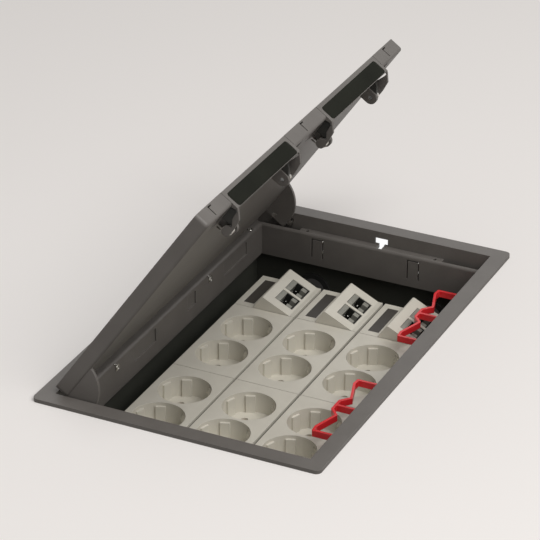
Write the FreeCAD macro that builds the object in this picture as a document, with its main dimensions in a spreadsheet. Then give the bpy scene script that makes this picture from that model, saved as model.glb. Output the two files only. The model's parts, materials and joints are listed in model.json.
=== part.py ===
"""Floor socket box: a hinged lid over a sunken frame with three strips of sockets.

Row frame, millimetres: +Z up, the origin at the centre of the tub's flat bottom.
X runs across the socket strips, from the hinge side (-X) to the free side (+X).
Y runs along the strips. The finished floor is the plane z = floor_height.
The lid's own pieces are drawn closed and then swung open about the guide axis.
"""
import FreeCAD, Part
import Sketcher
import os
import re

SHEET = "Sizes"

# Driving dimensions: alias -> (value, what it is). Lengths in mm, angles in degrees.
SIZES = {
    "floor_height": (90.0, "finished floor above the bottom of the tub"),
    # frame
    "frame_width": (229.5, "flange, across the strips"),
    "frame_length": (361.1, "flange, along the strips"),
    "flange_width": (12.8, "flange, from its outer edge to the opening"),
    "flange_thickness": (3.0, "flange on the floor"),
    "flange_corner": (4.5, "outer corner radius of the flange"),
    "frame_wall": (2.0, "wall of the frame"),
    "ledge_drop": (9.0, "top of the ledge below the floor"),
    "ledge_width": (6.4, "ledge that the lid rests on"),
    "ledge_hole_inset": (45.95, "hole in an end ledge from the side of the opening"),
    "tongue_back": (56.45, "middle of a tongue from the hinge side of the opening"),
    "tongue_front": (63.25, "middle of a tongue from the free side of the opening"),
    "tongue_half": (4.8, "middle of a tongue to the middle of its slits"),
    "ledge_thickness": (3.0, "ledge"),
    "skirt_drop": (37.0, "lower edge of the frame below the floor"),
    "cheek_pocket_x": (39.55, "inner end of a cheek slot inside the opening"),
    "ledge_round": (2.5, "rounded inner edge of the ledge"),
    "flap_recess_drop": (21.0, "shelf under a cable flap below the floor"),
    "flap_recess_margin": (1.2, "free length at each end of a flap recess"),
    # tub
    "tub_wall": (2.2, "side wall of the tub"),
    "tub_floor": (2.5, "bottom of the tub"),
    "tub_rim_drop": (16.0, "rim of the tub below the floor"),
    "tub_gap": (0.45, "gap between the frame and the tub"),
    "tub_bend": (4.0, "outer bend between the floor and the sides of the tub"),
    "screw_y": (20.75, "frame screws from the end of the opening"),
    "lug_length": (12.0, "screw lug of the tub"),
    "lug_height": (14.0, "screw lug of the tub"),
    "lug_gap": (0.3, "between a screw lug and the lower wall"),
    "screw_inset": (2.5, "frame screws inside the opening"),
    "screw_radius": (1.25, "frame screw shank"),
    "screw_head_radius": (2.4, "frame screw head"),
    "screw_head_height": (1.8, "frame screw head"),
    "screw_length": (12.0, "frame screw shank"),
    "screw_clearance": (0.1, "around a frame screw"),
    "conduit_x": (52.0, "conduit entries from the middle"),
    "conduit_z": (26.0, "conduit entries above the bottom"),
    "conduit_radius": (12.5, "hole for a conduit grommet"),
    "grommet_bore": (10.0, "radius of the hole in a grommet"),
    "grommet_lip": (2.0, "lip of a grommet beyond its hole"),
    # rails and carriers
    "rail_y": (71.75, "cross rails from the end of the opening"),
    "rail_width": (16.0, "cross rail"),
    "rail_height": (9.5, "cross rail"),
    "sheet_metal": (1.5, "rails and carriers"),
    "strip_pitch": (54.1, "from strip to strip"),
    "strip_gap": (2.4, "gap between strips"),
    "module_gap": (0.5, "joint between plates in a strip"),
    "double_pitch": (106.1, "double socket module along the strip"),
    "data_pitch": (52.4, "data module along the strip"),
    "plate_drop": (39.8, "top of the plates below the floor"),
    "plate_thickness": (3.0, "plate"),
    # sockets
    "first_socket": (31.3, "first socket centre from the end of its module"),
    "socket_pitch": (43.4, "from socket to socket in a module"),
    "cup_radius": (20.5, "mouth of a socket cup"),
    "cup_depth": (17.5, "socket cup"),
    "cup_wall": (1.4, "wall of a socket cup"),
    "cup_floor": (1.8, "floor of a socket cup"),
    "cup_turn": (47.0, "direction of the earth clips from +X"),
    "pad_radius": (19.0, "inner face of the guide pads"),
    "pad_drop": (3.0, "top of the guide pads below the plate"),
    "pin_spacing": (19.0, "between the pin holes"),
    "pin_radius": (2.8, "pin hole"),
    "earth_slot": (6.4, "slot for an earth clip"),
    "earth_width": (5.4, "earth clip"),
    "earth_metal": (0.7, "earth clip"),
    "earth_drop": (4.0, "upper end of an earth clip below the plate"),
    "block_height": (13.0, "contact block under the cups"),
    "block_side": (3.2, "contact block inside the carrier"),
    "contact_radius": (4.0, "line contact tube"),
    "contact_bore": (2.3, "line contact tube, inside"),
    "contact_length": (11.5, "line contact tube"),
    "contact_gap": (0.1, "around a line contact tube"),
    # data modules
    "wedge_start": (15.9, "foot of the steep side, from the edge of the plate"),
    "wedge_ridge": (23.8, "ridge, from the edge of the plate"),
    "wedge_end": (47.9, "foot of the sloping side, from the edge of the plate"),
    "wedge_height": (11.8, "ridge above the plate"),
    "wedge_wall": (2.0, "wall of the wedge housing"),
    "ridge_round": (1.6, "rounded ridge of the wedge"),
    "port_along": (16.6, "port, down the slope"),
    "port_across": (16.0, "port, along the strip"),
    "port_start": (8.3, "port below the ridge, down the slope"),
    "port_offset": (9.3, "port centres from the middle of the module"),
    "port_gap": (0.15, "around a jack in its port"),
    "jack_depth": (19.0, "jack below the slope"),
    "jack_recess": (0.4, "face of a jack below the slope"),
    "window_start": (4.8, "label window from the edge of the plate"),
    "window_width": (9.4, "label window"),
    "window_length": (40.0, "label window"),
    "window_depth": (1.0, "label window"),
    "window_gap": (0.1, "around the label window"),
    # lid
    "lid_gap": (0.7, "between the lid and the frame"),
    "lid_rest_gap": (0.3, "between the closed lid and the ledge"),
    "lid_corner": (3.0, "corner radius of the lid"),
    "lid_rim": (3.2, "rim round the floor covering tray"),
    "tray_depth": (5.0, "tray for the floor covering"),
    "tray_plate": (2.0, "steel plate in the tray"),
    "tray_gap": (0.25, "around the steel plate"),
    "tray_free_margin": (24.0, "from the free edge of the lid to the tray"),
    "pivot_inset": (8.05, "guide axis inside the outer edge of the flange"),
    "pivot_rise": (4.4, "guide axis above the floor"),
    "open_angle": (55.0, "lid standing open"),
    # cheeks and guides
    "cheek_radius": (28.0, "round cheek"),
    "cheek_x": (8.95, "centre of a closed cheek inside the opening"),
    "cheek_sink": (0.4, "centre of a closed cheek below the floor"),
    "cheek_thickness": (2.4, "cheek"),
    "cheek_gap": (0.4, "between a cheek and the lower wall"),
    "stud_radius": (2.0, "guide stud"),
    "stud_fit": (0.08, "around a guide stud in its groove"),
    "outer_track": (36.0, "radius of the outer guide groove"),
    "inner_track": (22.0, "radius of the inner guide groove"),
    "outer_start": (70.0, "outer stud below the horizontal, lid closed"),
    "inner_start": (68.0, "inner stud below the horizontal, lid closed"),
    "track_skin": (0.6, "wall left behind a guide groove"),
    "track_margin": (1.5, "spare groove beyond a stud at each end, degrees"),
    # cable flaps
    "flap_inner_end": (27.3, "inner end of a flap from the middle"),
    "flap_outer_end": (38.75, "outer end of a flap from the end of the opening"),
    "flap_gap": (0.5, "between a flap and the lid"),
    "nose_run": (5.0, "bevel under the nose of the lid, towards the hinge"),
    "nose_rise": (2.0, "bevel under the nose of the lid, upwards"),
    "flap_pivot_x": (22.55, "flap pin inside the free face of the lid"),
    "flap_pivot_drop": (17.2, "flap pin below the floor"),
    "flap_drum": (20.8, "inner radius of the flap about its pin"),
    "flap_pin_radius": (1.5, "flap pin"),
    "flap_pin_fit": (0.06, "around a flap pin"),
    "flap_barrel": (4.4, "barrel round the flap pin"),
    "flap_lip_drop": (13.2, "foot of the upright face below the floor"),
    "flap_toe_x": (5.75, "toe of the flap inside the free face of the lid"),
    "flap_toe_drop": (17.9, "toe of the flap below the floor"),
    "flap_ear": (13.0, "ear at each end of a flap, over both its plates"),
    "ear_plate": (2.0, "plate of an ear"),
    "spring_gap": (0.3, "between a spring and the parts beside it"),
    "spring_wire": (0.6, "radius of the spring wire"),
    "spring_radius": (3.0, "spring coil, to the middle of the wire"),
    "lug_plate": (2.8, "lug of the lid that holds a flap pin"),
    "foam_inset": (4.8, "foam pad from the end of its flap"),
    "foam_top": (0.5, "foam pad below the floor, upper edge"),
    "foam_thickness": (1.6, "foam pad"),
    # latches
    "latch_y": (19.25, "outer latches from the end of the opening"),
    "latch_width": (6.4, "latch slot"),
    "latch_height": (8.2, "latch slot"),
    "latch_depth": (7.0, "latch slot"),
    "latch_top": (1.2, "latch slot below the lid's upper face"),
    "latch_cut": (1.1, "free cut round a latch tongue"),
    # pockets under the lid
    "pocket_start": (2.5, "lid pocket from the free face"),
    "pocket_stop": (21.0, "lid pocket from the free face, inner end"),
    "pocket_length": (12.7, "lid pocket along the lid"),
    "pocket_gap": (1.3, "lid pocket from the end of its flap"),
    "pocket_depth": (8.0, "lid pocket"),
    # cable clips
    "clip_drop": (25.5, "middle of a cable clip below the floor"),
    "clip_band": (5.2, "height of a clip"),
    "clip_thickness": (2.0, "thickness of a clip"),
    "clip_reach": (26.5, "clip, from the wall to its loops"),
    "clip_valley": (6.7, "depth of the valleys between the loops"),
    "clip_half": (40.0, "outer arms from the middle arm"),
    "clip_near_y": (114.55, "middle of the near clip from the near end of the opening"),
    "clip_far_y": (65.75, "middle of the far clip from the far end of the opening"),
}

document = FreeCAD.newDocument("floor_socket_box")
sheet = document.addObject("Spreadsheet::Sheet", SHEET)
NODES = []


def write_sheet():
    """Write every driving dimension into the sheet, one row each."""
    for row, (alias, (value, note)) in enumerate(SIZES.items(), start=1):
        sheet.set(f"A{row}", note)
        sheet.set(f"B{row}", f"{value:g}")
        sheet.setAlias(f"B{row}", alias)
    document.recompute()


def bound(text):
    """Return an expression with each alias prefixed by the sheet's name."""
    return re.sub(r"[a-z_]+", lambda m: f"{SHEET}.{m[0]}" if m[0] in SIZES else m[0], str(text))


def value(text):
    """Work out an expression of aliases as a plain number."""
    return float(sheet.evalExpression(bound(text)))


def below(drop):
    """Return the height that lies this far below the finished floor."""
    return f"floor_height - ({drop})"


def high(rise):
    """Return the height that lies this far above the finished floor."""
    return f"floor_height + {rise}"


OPEN_X = "(frame_width / 2 - flange_width)"
OPEN_Y = "(frame_length / 2 - flange_width)"
INNER_X = f"({OPEN_X} - ledge_width)"
INNER_Y = f"({OPEN_Y} - ledge_width)"
CHEEK_POCKET_X = f"({OPEN_X} - cheek_pocket_x)"
CHEEK_X = f"({OPEN_X} - cheek_x)"
LEDGE_HOLE_X = f"({OPEN_X} - ledge_hole_inset)"
TONGUES_X = (f"-({OPEN_X} - tongue_back)", f"({OPEN_X} - tongue_front)")
SCREW_Y = f"({OPEN_Y} - screw_y)"
RAIL_Y = f"({OPEN_Y} - rail_y)"
LATCH_Y = f"({OPEN_Y} - latch_y)"
LID_FACE = f"({OPEN_X} - lid_gap)"
TUB_X = f"({OPEN_X} + frame_wall + tub_gap)"
TUB_Y = f"({OPEN_Y} + frame_wall + tub_gap)"
LEDGE_TOP = below("ledge_drop")
LEDGE_FOOT = below("ledge_drop + ledge_thickness")
SKIRT_FOOT = below("skirt_drop")
PLATE_TOP = below("plate_drop")
PLATE_FOOT = below("plate_drop + plate_thickness")
CUP_FOOT = below("plate_drop + cup_depth + cup_floor")
STRIPS = (1, 2, 3)
SIDES = (("near", "-"), ("far", "+"))
TURN_TO_AXIS = {
    "X": FreeCAD.Rotation(FreeCAD.Vector(0, 1, 0), 90),
    "Y": FreeCAD.Rotation(FreeCAD.Vector(1, 0, 0), -90),
    "Z": FreeCAD.Rotation(),
}


def place(target, x, y, z, rotation=None):
    """Bind an object's position to three expressions, with a fixed rotation."""
    target.Placement = FreeCAD.Placement(FreeCAD.Vector(), rotation or FreeCAD.Rotation())
    for axis, text in zip("xyz", (x, y, z)):
        target.setExpression(f"Placement.Base.{axis}", bound(text))


def size(target, **lengths):
    """Bind lengths of an object to expressions."""
    for name, text in lengths.items():
        target.setExpression(name, bound(text))


class Piece:
    """A PartDesign body built from bound boxes, cylinders and profiles."""

    def __init__(self, label):
        self.label = label
        self.body = document.addObject("PartDesign::Body", label)
        self.body.Label = label

    def feature(self, kind, word):
        """Add a feature of this kind to the body."""
        return self.body.newObject(f"PartDesign::{kind}", f"{self.label}_{word}")

    def box(self, x, y, z, cut=False, rotation=None):
        """Add or cut a box between the low and high expressions of each axis."""
        made = self.feature("SubtractiveBox" if cut else "AdditiveBox", "box")
        size(made, Length=f"({x[1]}) - ({x[0]})", Width=f"({y[1]}) - ({y[0]})",
             Height=f"({z[1]}) - ({z[0]})")
        place(made, x[0], y[0], z[0], rotation)
        return made

    def cylinder(self, centre, radius, length, axis="Z", cut=False):
        """Add or cut a cylinder that starts at centre and runs along +axis."""
        made = self.feature("SubtractiveCylinder" if cut else "AdditiveCylinder", "round")
        size(made, Radius=radius, Height=length)
        place(made, *centre, TURN_TO_AXIS[axis])
        return made

    def profile(self, plane, points, span, cut=False):
        """Pad or pocket a closed outline between two offsets along the plane's normal."""
        sketch = self.outline(plane, points)
        start = f"-({span[1]})" if plane == "XZ" else span[0]
        sketch.setExpression("AttachmentOffset.Base.z", bound(start))
        made = self.feature("Pocket" if cut else "Pad", "profile")
        made.Profile = sketch
        size(made, Length=f"({span[1]}) - ({span[0]})")
        made.Reversed = cut
        return made

    def outline(self, plane, points):
        """Draw a closed outline of straight edges, each corner bound to expressions."""
        sketch = self.body.newObject("Sketcher::SketchObject", f"{self.label}_outline")
        role = f"{plane}_Plane"
        base = next(item for item in self.body.Origin.OriginFeatures if item.Role == role)
        sketch.AttachmentSupport = (base, [""])
        sketch.MapMode = "FlatFace"
        corners = [FreeCAD.Vector(value(u), value(v), 0) for u, v in points]
        count = len(corners)
        for index, corner in enumerate(corners):
            edge = Part.LineSegment(corner, corners[(index + 1) % count])
            sketch.addGeometry(edge, False)
        for index in range(count):
            join = Sketcher.Constraint("Coincident", index, 2, (index + 1) % count, 1)
            sketch.addConstraint(join)
        for index, (corner, texts) in enumerate(zip(corners, points)):
            for kind, start, text in zip(("DistanceX", "DistanceY"), (corner.x, corner.y), texts):
                rule = Sketcher.Constraint(kind, -1, 1, index, 1, start)
                number = sketch.addConstraint(rule)
                sketch.setExpression(f"Constraints[{number}]", bound(text))
        return sketch

    def blend(self, radius, pick, kind="Fillet"):
        """Round or bevel the edges that pick chooses from the present shape."""
        document.recompute()
        tip = self.body.Tip
        names = [f"Edge{n}" for n, edge in enumerate(tip.Shape.Edges, start=1) if pick(edge)]
        made = self.feature(kind, "blend")
        made.Base = (tip, names)
        size(made, **{"Radius" if kind == "Fillet" else "Size": radius})
        return made

    def done(self, placement=None):
        """Place the body, check it and keep it as a node."""
        if placement is not None:
            self.body.Placement = placement
        document.recompute()
        NODES.append(self.body)
        return self.body


def group(label, members):
    """Join separate solids of one kind into one node."""
    made = document.addObject("Part::Compound", label)
    made.Label = label
    made.Links = members
    document.recompute()
    NODES.append(made)
    return made


def upright(edge):
    """Tell whether an edge is a straight vertical one."""
    box = edge.BoundBox
    return box.ZLength > 0.5 and box.XLength < 0.01 and box.YLength < 0.01


def at_corner(edge, half_x, half_y):
    """Tell whether an edge stands at a corner of a centred rectangle."""
    middle = edge.BoundBox.Center
    return abs(abs(middle.x) - half_x) < 0.01 and abs(abs(middle.y) - half_y) < 0.01


def pivot_point():
    """Return a point on the lid's guide axis."""
    return FreeCAD.Vector(value("pivot_inset - frame_width / 2"), 0, value(high("pivot_rise")))


def swing(angle=None):
    """Return the placement that opens a closed lid piece about the guide axis."""
    turn = value("open_angle") if angle is None else angle
    rotation = FreeCAD.Rotation(FreeCAD.Vector(0, -1, 0), turn)
    return FreeCAD.Placement(FreeCAD.Vector(), rotation, pivot_point())


def symmetric(half):
    """Return the low and high expressions of a centred span."""
    return f"-({half})", half


def mirrored(sign, low, high_text):
    """Return a span on the negative or positive side of the middle."""
    return (low, high_text) if sign == "+" else (f"-({high_text})", f"-({low})")


def build_frame():
    """Flange, upper wall, ledge, lower wall, cheek pockets and their openings."""
    frame = Piece("frame")
    frame.box(symmetric("frame_width / 2"), symmetric("frame_length / 2"),
              ("floor_height", high("flange_thickness")))
    frame.box(symmetric(f"{OPEN_X} + frame_wall"), symmetric(f"{OPEN_Y} + frame_wall"),
              (LEDGE_FOOT, "floor_height"))
    frame.box(symmetric(f"{INNER_X} + frame_wall"), symmetric(f"{INNER_Y} + frame_wall"),
              (SKIRT_FOOT, LEDGE_FOOT))
    for _, across in SIDES:
        for _, along in SIDES:
            frame.box(mirrored(across, f"{CHEEK_POCKET_X} - frame_wall", f"{OPEN_X} + frame_wall"),
                      mirrored(along, INNER_Y, f"{OPEN_Y} + frame_wall"),
                      (SKIRT_FOOT, LEDGE_FOOT))
    for across, along in (("+", "-"), ("+", "+")):
        frame.box(mirrored(across, INNER_X, f"{OPEN_X} + frame_wall"),
                  flap_span(along, "flap_recess_margin + frame_wall"),
                  (below("flap_recess_drop + frame_wall"), LEDGE_FOOT))
    frame.box(symmetric(OPEN_X), symmetric(OPEN_Y), (LEDGE_TOP, high("2 * flange_thickness")),
              cut=True)
    frame.box(symmetric(INNER_X), symmetric(INNER_Y), (below("skirt_drop + 1"), LEDGE_TOP),
              cut=True)
    ledge, inner_x, inner_y = value(LEDGE_TOP), value(INNER_X), value(INNER_Y)
    frame.blend("ledge_round", lambda e: abs(e.BoundBox.ZMin - ledge) < 0.01
                and e.BoundBox.ZLength < 0.01
                and abs(e.BoundBox.Center.x) < inner_x + 0.01
                and abs(e.BoundBox.Center.y) < inner_y + 0.01)
    for _, across in SIDES:
        for _, along in SIDES:
            frame.box(mirrored(across, CHEEK_POCKET_X, OPEN_X),
                      mirrored(along, f"{INNER_Y} + frame_wall", OPEN_Y),
                      (below("skirt_drop + 1"), high("0")), cut=True)
    for along in "-+":
        frame.box((f"{INNER_X} - 1", OPEN_X), flap_span(along, "flap_recess_margin"),
                  (below("flap_recess_drop"), high("0")), cut=True)
    cut_guide_tracks(frame)
    cut_frame_openings(frame)
    corners = ((value("frame_width / 2"), value("frame_length / 2")),)
    frame.blend("flange_corner", lambda e: upright(e) and at_corner(e, *corners[0]))
    frame.done()


def flap_span(sign, margin="0"):
    """Return the span of a cable flap along Y, widened by a margin."""
    return mirrored(sign, f"flap_inner_end - ({margin})",
                    f"{OPEN_Y} - flap_outer_end + ({margin})")


def cut_guide_tracks(frame):
    """Cut the two curved grooves for the guide studs in each end wall."""
    tracks = (("outer_track", "outer_start"), ("inner_track", "inner_start"))
    width = "(stud_radius + stud_fit)"
    for _, along in SIDES:
        for track, start in tracks:
            spare = value(f"{width} / {track}") * 57.29578 + value("track_margin")
            low = -value(start) - spare
            swept = value("open_angle") + 2 * spare
            sketch = frame.outline("XY", groove_corners(track, width, along))
            sketch.AttachmentOffset = FreeCAD.Placement(
                FreeCAD.Vector(), FreeCAD.Rotation(FreeCAD.Vector(0, 1, 0), -low))
            for axis, text in (("x", "pivot_inset - frame_width / 2"), ("z", high("pivot_rise"))):
                sketch.setExpression(f"AttachmentOffset.Base.{axis}", bound(text))
            groove = frame.feature("Groove", "track")
            groove.Profile = sketch
            groove.ReferenceAxis = (sketch, ["V_Axis"])
            groove.Angle = swept
            groove.Reversed = True


def groove_corners(track, width, along):
    """Return the cross-section of a guide groove beside the guide axis."""
    low, far = mirrored(along, f"{OPEN_Y} - 0.5", f"{OPEN_Y} + frame_wall - track_skin")
    inner, outer = f"{track} - {width}", f"{track} + {width}"
    return [(inner, low), (outer, low), (outer, far), (inner, far)]


def cut_frame_openings(frame):
    """Cut the keyhole slot, ledge holes, screw seats, tongue slits and wall windows."""
    frame.box(("8.2 - 5.6", "8.2 + 5.6"), (f"{OPEN_Y} - 1", f"{OPEN_Y} + frame_wall + 1"),
              (below("8.4"), below("2.8")), cut=True)
    frame.box(("8.2 - 2.4", "8.2 + 2.4"), (f"{OPEN_Y} - 5.2", f"{OPEN_Y} + frame_wall + 1"),
              (below("ledge_drop + ledge_thickness + 1"), below("5")), cut=True)
    for _, along in SIDES:
        for x in (f"-{LEDGE_HOLE_X}", LEDGE_HOLE_X):
            centre = (x, f"{along}({OPEN_Y} - ledge_width / 2)", LEDGE_FOOT)
            frame.cylinder(centre, "1.5", "ledge_thickness + 1", cut=True)
        for middle in TONGUES_X:
            cut_tongue(frame, along, middle)
        for _, across in SIDES:
            cut_screw_seat(frame, across, along)
    for low, far in (("-60", "-24"), ("29", "43"), (f"{OPEN_Y} - 75.75", f"{OPEN_Y} - 33.75")):
        frame.box((f"-({INNER_X} + 1.2)", f"-({INNER_X} - 1)"), (low, far),
                  (below("25"), below("13.5")), cut=True)


def cut_tongue(frame, along, middle):
    """Slit the end wall round a springy tongue that stays fixed at its foot."""
    wall = mirrored(along, f"{INNER_Y} - 1", f"{INNER_Y} + frame_wall + 1")
    for side in ("- tongue_half", "+ tongue_half"):
        centre = f"{middle} {side}"
        frame.box((f"{centre} - 0.5", f"{centre} + 0.5"), wall, (below("30"), below("13")), cut=True)
    frame.box((f"{middle} - tongue_half - 0.5", f"{middle} + tongue_half + 0.5"), wall,
              (below("14"), below("13")), cut=True)


def cut_screw_seat(frame, across, along):
    """Cut a counterbored hole for a frame screw in the ledge."""
    x, y = frame_screw_place(across, along)
    frame.cylinder((x, y, below("ledge_drop + screw_length + 1")),
                   "screw_radius + screw_clearance", "screw_length + 2", cut=True)
    frame.cylinder((x, y, below("ledge_drop + screw_head_height")),
                   "screw_head_radius + screw_clearance", "screw_head_height + 1", cut=True)


def frame_screw_place(across, along):
    """Return the place of a frame screw on the ledge."""
    return f"{across}({OPEN_X} - screw_inset)", f"{along}{SCREW_Y}"


def build_tub():
    """Open tub under the frame: a bent channel with screw lugs and two welded end plates."""
    channel = Piece("tub_channel")
    rim = below("tub_rim_drop")
    channel.box(symmetric(f"{TUB_X} + tub_wall"), symmetric(f"{TUB_Y} + tub_wall"), ("0", rim))
    side = value(f"{TUB_X} + tub_wall")
    channel.blend("tub_bend", lambda e: abs(abs(e.BoundBox.Center.x) - side) < 0.01
                  and abs(e.BoundBox.ZMax) < 0.01)
    channel.box(symmetric(TUB_X), symmetric(f"{TUB_Y} + tub_wall + 1"), ("tub_floor", high("0")),
                cut=True)
    for _, across in SIDES:
        for _, along in SIDES:
            y = f"{along}{SCREW_Y}"
            channel.box(mirrored(across, f"{INNER_X} + frame_wall + lug_gap",
                                 f"{TUB_X} + tub_wall / 2"),
                        (f"{y} - lug_length / 2", f"{y} + lug_length / 2"),
                        (below("ledge_drop + ledge_thickness + lug_height"), LEDGE_FOOT))
            x, _ = frame_screw_place(across, along)
            channel.cylinder((x, y, below("ledge_drop + screw_length + 1")),
                             "screw_radius + screw_clearance", "screw_length", cut=True)
    members = [channel.body]
    for name, along in SIDES:
        plate = Piece(f"tub_end_{name}")
        wall = mirrored(along, TUB_Y, f"{TUB_Y} + tub_wall")
        plate.box(symmetric(TUB_X), wall, ("tub_floor", rim))
        for x in ("-conduit_x", "conduit_x"):
            plate.cylinder((x, f"{wall[0]} - 1", "conduit_z"), "conduit_radius", "tub_wall + 2",
                           "Y", cut=True)
        members.append(plate.body)
    group("tub", members)


def build_frame_screws():
    """Pan-head screws through the ledge into the lugs of the tub."""
    members = []
    for name_x, across in SIDES:
        for name_y, along in SIDES:
            screw = Piece(f"frame_screw_{name_x}_{name_y}")
            x, y = frame_screw_place(across, along)
            screw.cylinder((x, y, below("ledge_drop + screw_length")), "screw_radius",
                           "screw_length - screw_head_height")
            screw.cylinder((x, y, below("ledge_drop + screw_head_height")), "screw_head_radius",
                           "screw_head_height")
            members.append(screw.body)
    group("frame_screws", members)


def build_grommets():
    """Rubber bushings in the conduit holes."""
    members = []
    for name, along in SIDES:
        for number, x in enumerate(("-conduit_x", "conduit_x"), start=1):
            bush = Piece(f"grommet_{name}_{number}")
            start, stop = mirrored(along, f"{TUB_Y} - grommet_lip",
                                   f"{TUB_Y} + tub_wall + grommet_lip")
            lips = (start, f"{stop} - grommet_lip")
            bush.cylinder((x, start, "conduit_z"), "conduit_radius", "tub_wall + 2 * grommet_lip",
                          "Y")
            for lip in lips:
                bush.cylinder((x, lip, "conduit_z"), "conduit_radius + grommet_lip", "grommet_lip",
                              "Y")
            bush.cylinder((x, start, "conduit_z"), "grommet_bore", "tub_wall + 2 * grommet_lip",
                          "Y", cut=True)
            members.append(bush.body)
    group("conduit_grommets", members)


def build_spring_clips():
    """Bent steel clips on the outside of the tongues and on the long walls."""
    members = []
    metal = "0.6"
    for name, along in SIDES:
        for number, x in enumerate(TONGUES_X, start=1):
            clip = Piece(f"end_clip_{name}_{number}")
            face = f"{INNER_Y} + frame_wall"
            span = (f"{x} - tongue_half + 0.8", f"{x} + tongue_half - 0.8")
            clip.box(span, mirrored(along, face, f"{face} + {metal}"),
                     (below("32"), below("15")))
            clip.box(span, mirrored(along, face, f"{face} + 2.6"),
                     (below("32.6"), below("32")))
            members.append(clip.body)
    for number, y in enumerate((f"-({OPEN_Y} - 80.75)", f"({OPEN_Y} - 100.25)"), start=1):
        clip = Piece(f"wall_clip_{number}")
        clip.box(mirrored("-", f"{INNER_X} - {metal}", INNER_X), (f"{y} - 2.5", f"{y} + 2.5"),
                 (below("18"), below("13")))
        members.append(clip.body)
    group("wall_spring_clips", members)


def build_rails():
    """Cross rails on the bottom of the tub."""
    for name, along in SIDES:
        rail = Piece(f"rail_{name}")
        y = f"{along}{RAIL_Y}"
        half = "rail_width / 2"
        top = "tub_floor + rail_height"
        rail.box(symmetric(f"{TUB_X} - 4"), (f"{y} - {half}", f"{y} + {half}"), ("tub_floor", top))
        rail.box(symmetric(f"{TUB_X} - 3"), (f"{y} - {half} + sheet_metal",
                                             f"{y} + {half} - sheet_metal"),
                 ("tub_floor - 1", f"{top} - sheet_metal"), cut=True)
        rail.done()


def strip_left(strip):
    """Return the X of the left edge of a strip's plates."""
    return f"(({strip} - 2) * strip_pitch - (strip_pitch - strip_gap) / 2)"


PLATE_WIDTH = "(strip_pitch - strip_gap)"
STRIP_LENGTH = "(2 * double_pitch + data_pitch)"


def build_carriers():
    """Sheet-metal channels that carry the plates of each strip."""
    base = "tub_floor + rail_height"
    for strip in STRIPS:
        carrier = Piece(f"carrier_{strip}")
        left = strip_left(strip)
        low, far = f"{left} + 1", f"{left} + {PLATE_WIDTH} - 1"
        ends = symmetric(f"{STRIP_LENGTH} / 2 - 1")
        carrier.box((low, far), ends, (base, PLATE_FOOT))
        carrier.box((f"{low} + sheet_metal", f"{far} - sheet_metal"),
                    symmetric(f"{STRIP_LENGTH} / 2"), (f"{base} + sheet_metal", high("0")),
                    cut=True)
        for index in range(5):
            y = f"({index} - 2) * 48"
            carrier.box((f"{left} + {PLATE_WIDTH} / 2 - 8", f"{left} + {PLATE_WIDTH} / 2 + 8"),
                        (f"{y} - 12", f"{y} + 12"), (f"{base} - 1", f"{base} + sheet_metal + 1"),
                        cut=True)
        carrier.done()


def module_start(module):
    """Return the Y of the near end of a double socket module (0 or 1)."""
    return f"({module} * double_pitch - {STRIP_LENGTH} / 2)"


def cup_centres(strip, module):
    """Return the X and Y expressions of the two cups of a module."""
    x = f"({strip_left(strip)} + {PLATE_WIDTH} / 2)"
    start = module_start(module)
    return [(x, f"({start} + first_socket + {index} * socket_pitch)") for index in (0, 1)]


def polar(centre, radius, angle):
    """Return the point at a radius and angle from a centre."""
    x, y = centre
    return f"{x} + ({radius}) * cos({angle})", f"{y} + ({radius}) * sin({angle})"


def build_socket_plate(strip, module):
    """Cover plate with two round cups, their guide pads, pin holes and earth slots."""
    number = 2 * (strip - 1) + module + 1
    plate = Piece(f"socket_plate_{number}")
    left = strip_left(strip)
    start = module_start(module)
    plate.box((left, f"{left} + {PLATE_WIDTH}"),
              (f"{start} + module_gap / 2", f"{start} + double_pitch - module_gap / 2"),
              (PLATE_FOOT, PLATE_TOP))
    for centre in cup_centres(strip, module):
        plate.cylinder((*centre, CUP_FOOT), "cup_radius + cup_wall", "cup_depth + cup_floor")
        plate.cylinder((*centre, f"{CUP_FOOT} + cup_floor"), "cup_radius", "cup_depth + 1",
                       cut=True)
        for turn in (65.5, 113.5, 245.5, 293.5):
            angles = (f"cup_turn + {turn} - 11", f"cup_turn + {turn} + 11")
            ring = [polar(centre, "pad_radius", angles[0]), polar(centre, "pad_radius", angles[1]),
                    polar(centre, "cup_radius + cup_wall / 2", angles[1]),
                    polar(centre, "cup_radius + cup_wall / 2", angles[0])]
            plate.profile("XY", ring, (f"{CUP_FOOT} + cup_floor / 2", f"{PLATE_TOP} - pad_drop"))
        for side in ("0", "180"):
            hole = polar(centre, "pin_spacing / 2", f"cup_turn + 90 + {side}")
            plate.cylinder((*hole, f"{CUP_FOOT} - 1"), "pin_radius", "cup_floor + 2", cut=True)
            plate.profile("XY", earth_slot(centre, side), (f"{CUP_FOOT} - 1",
                                                           f"{PLATE_TOP} - earth_drop + 0.6"),
                          cut=True)
    plate.done()


def earth_slot(centre, side):
    """Return the outline of the slot through a cup's wall for an earth clip."""
    x, y = centre
    turn = f"cup_turn + {side}"
    corners = []
    for radius, half in (("pad_radius", "-"), ("cup_radius + cup_wall + 1", "-"),
                         ("cup_radius + cup_wall + 1", "+"), ("pad_radius", "+")):
        sign = f"{half}earth_slot / 2"
        corners.append((f"{x} + ({radius}) * cos({turn}) - ({sign}) * sin({turn})",
                        f"{y} + ({radius}) * sin({turn}) + ({sign}) * cos({turn})"))
    return corners


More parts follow.
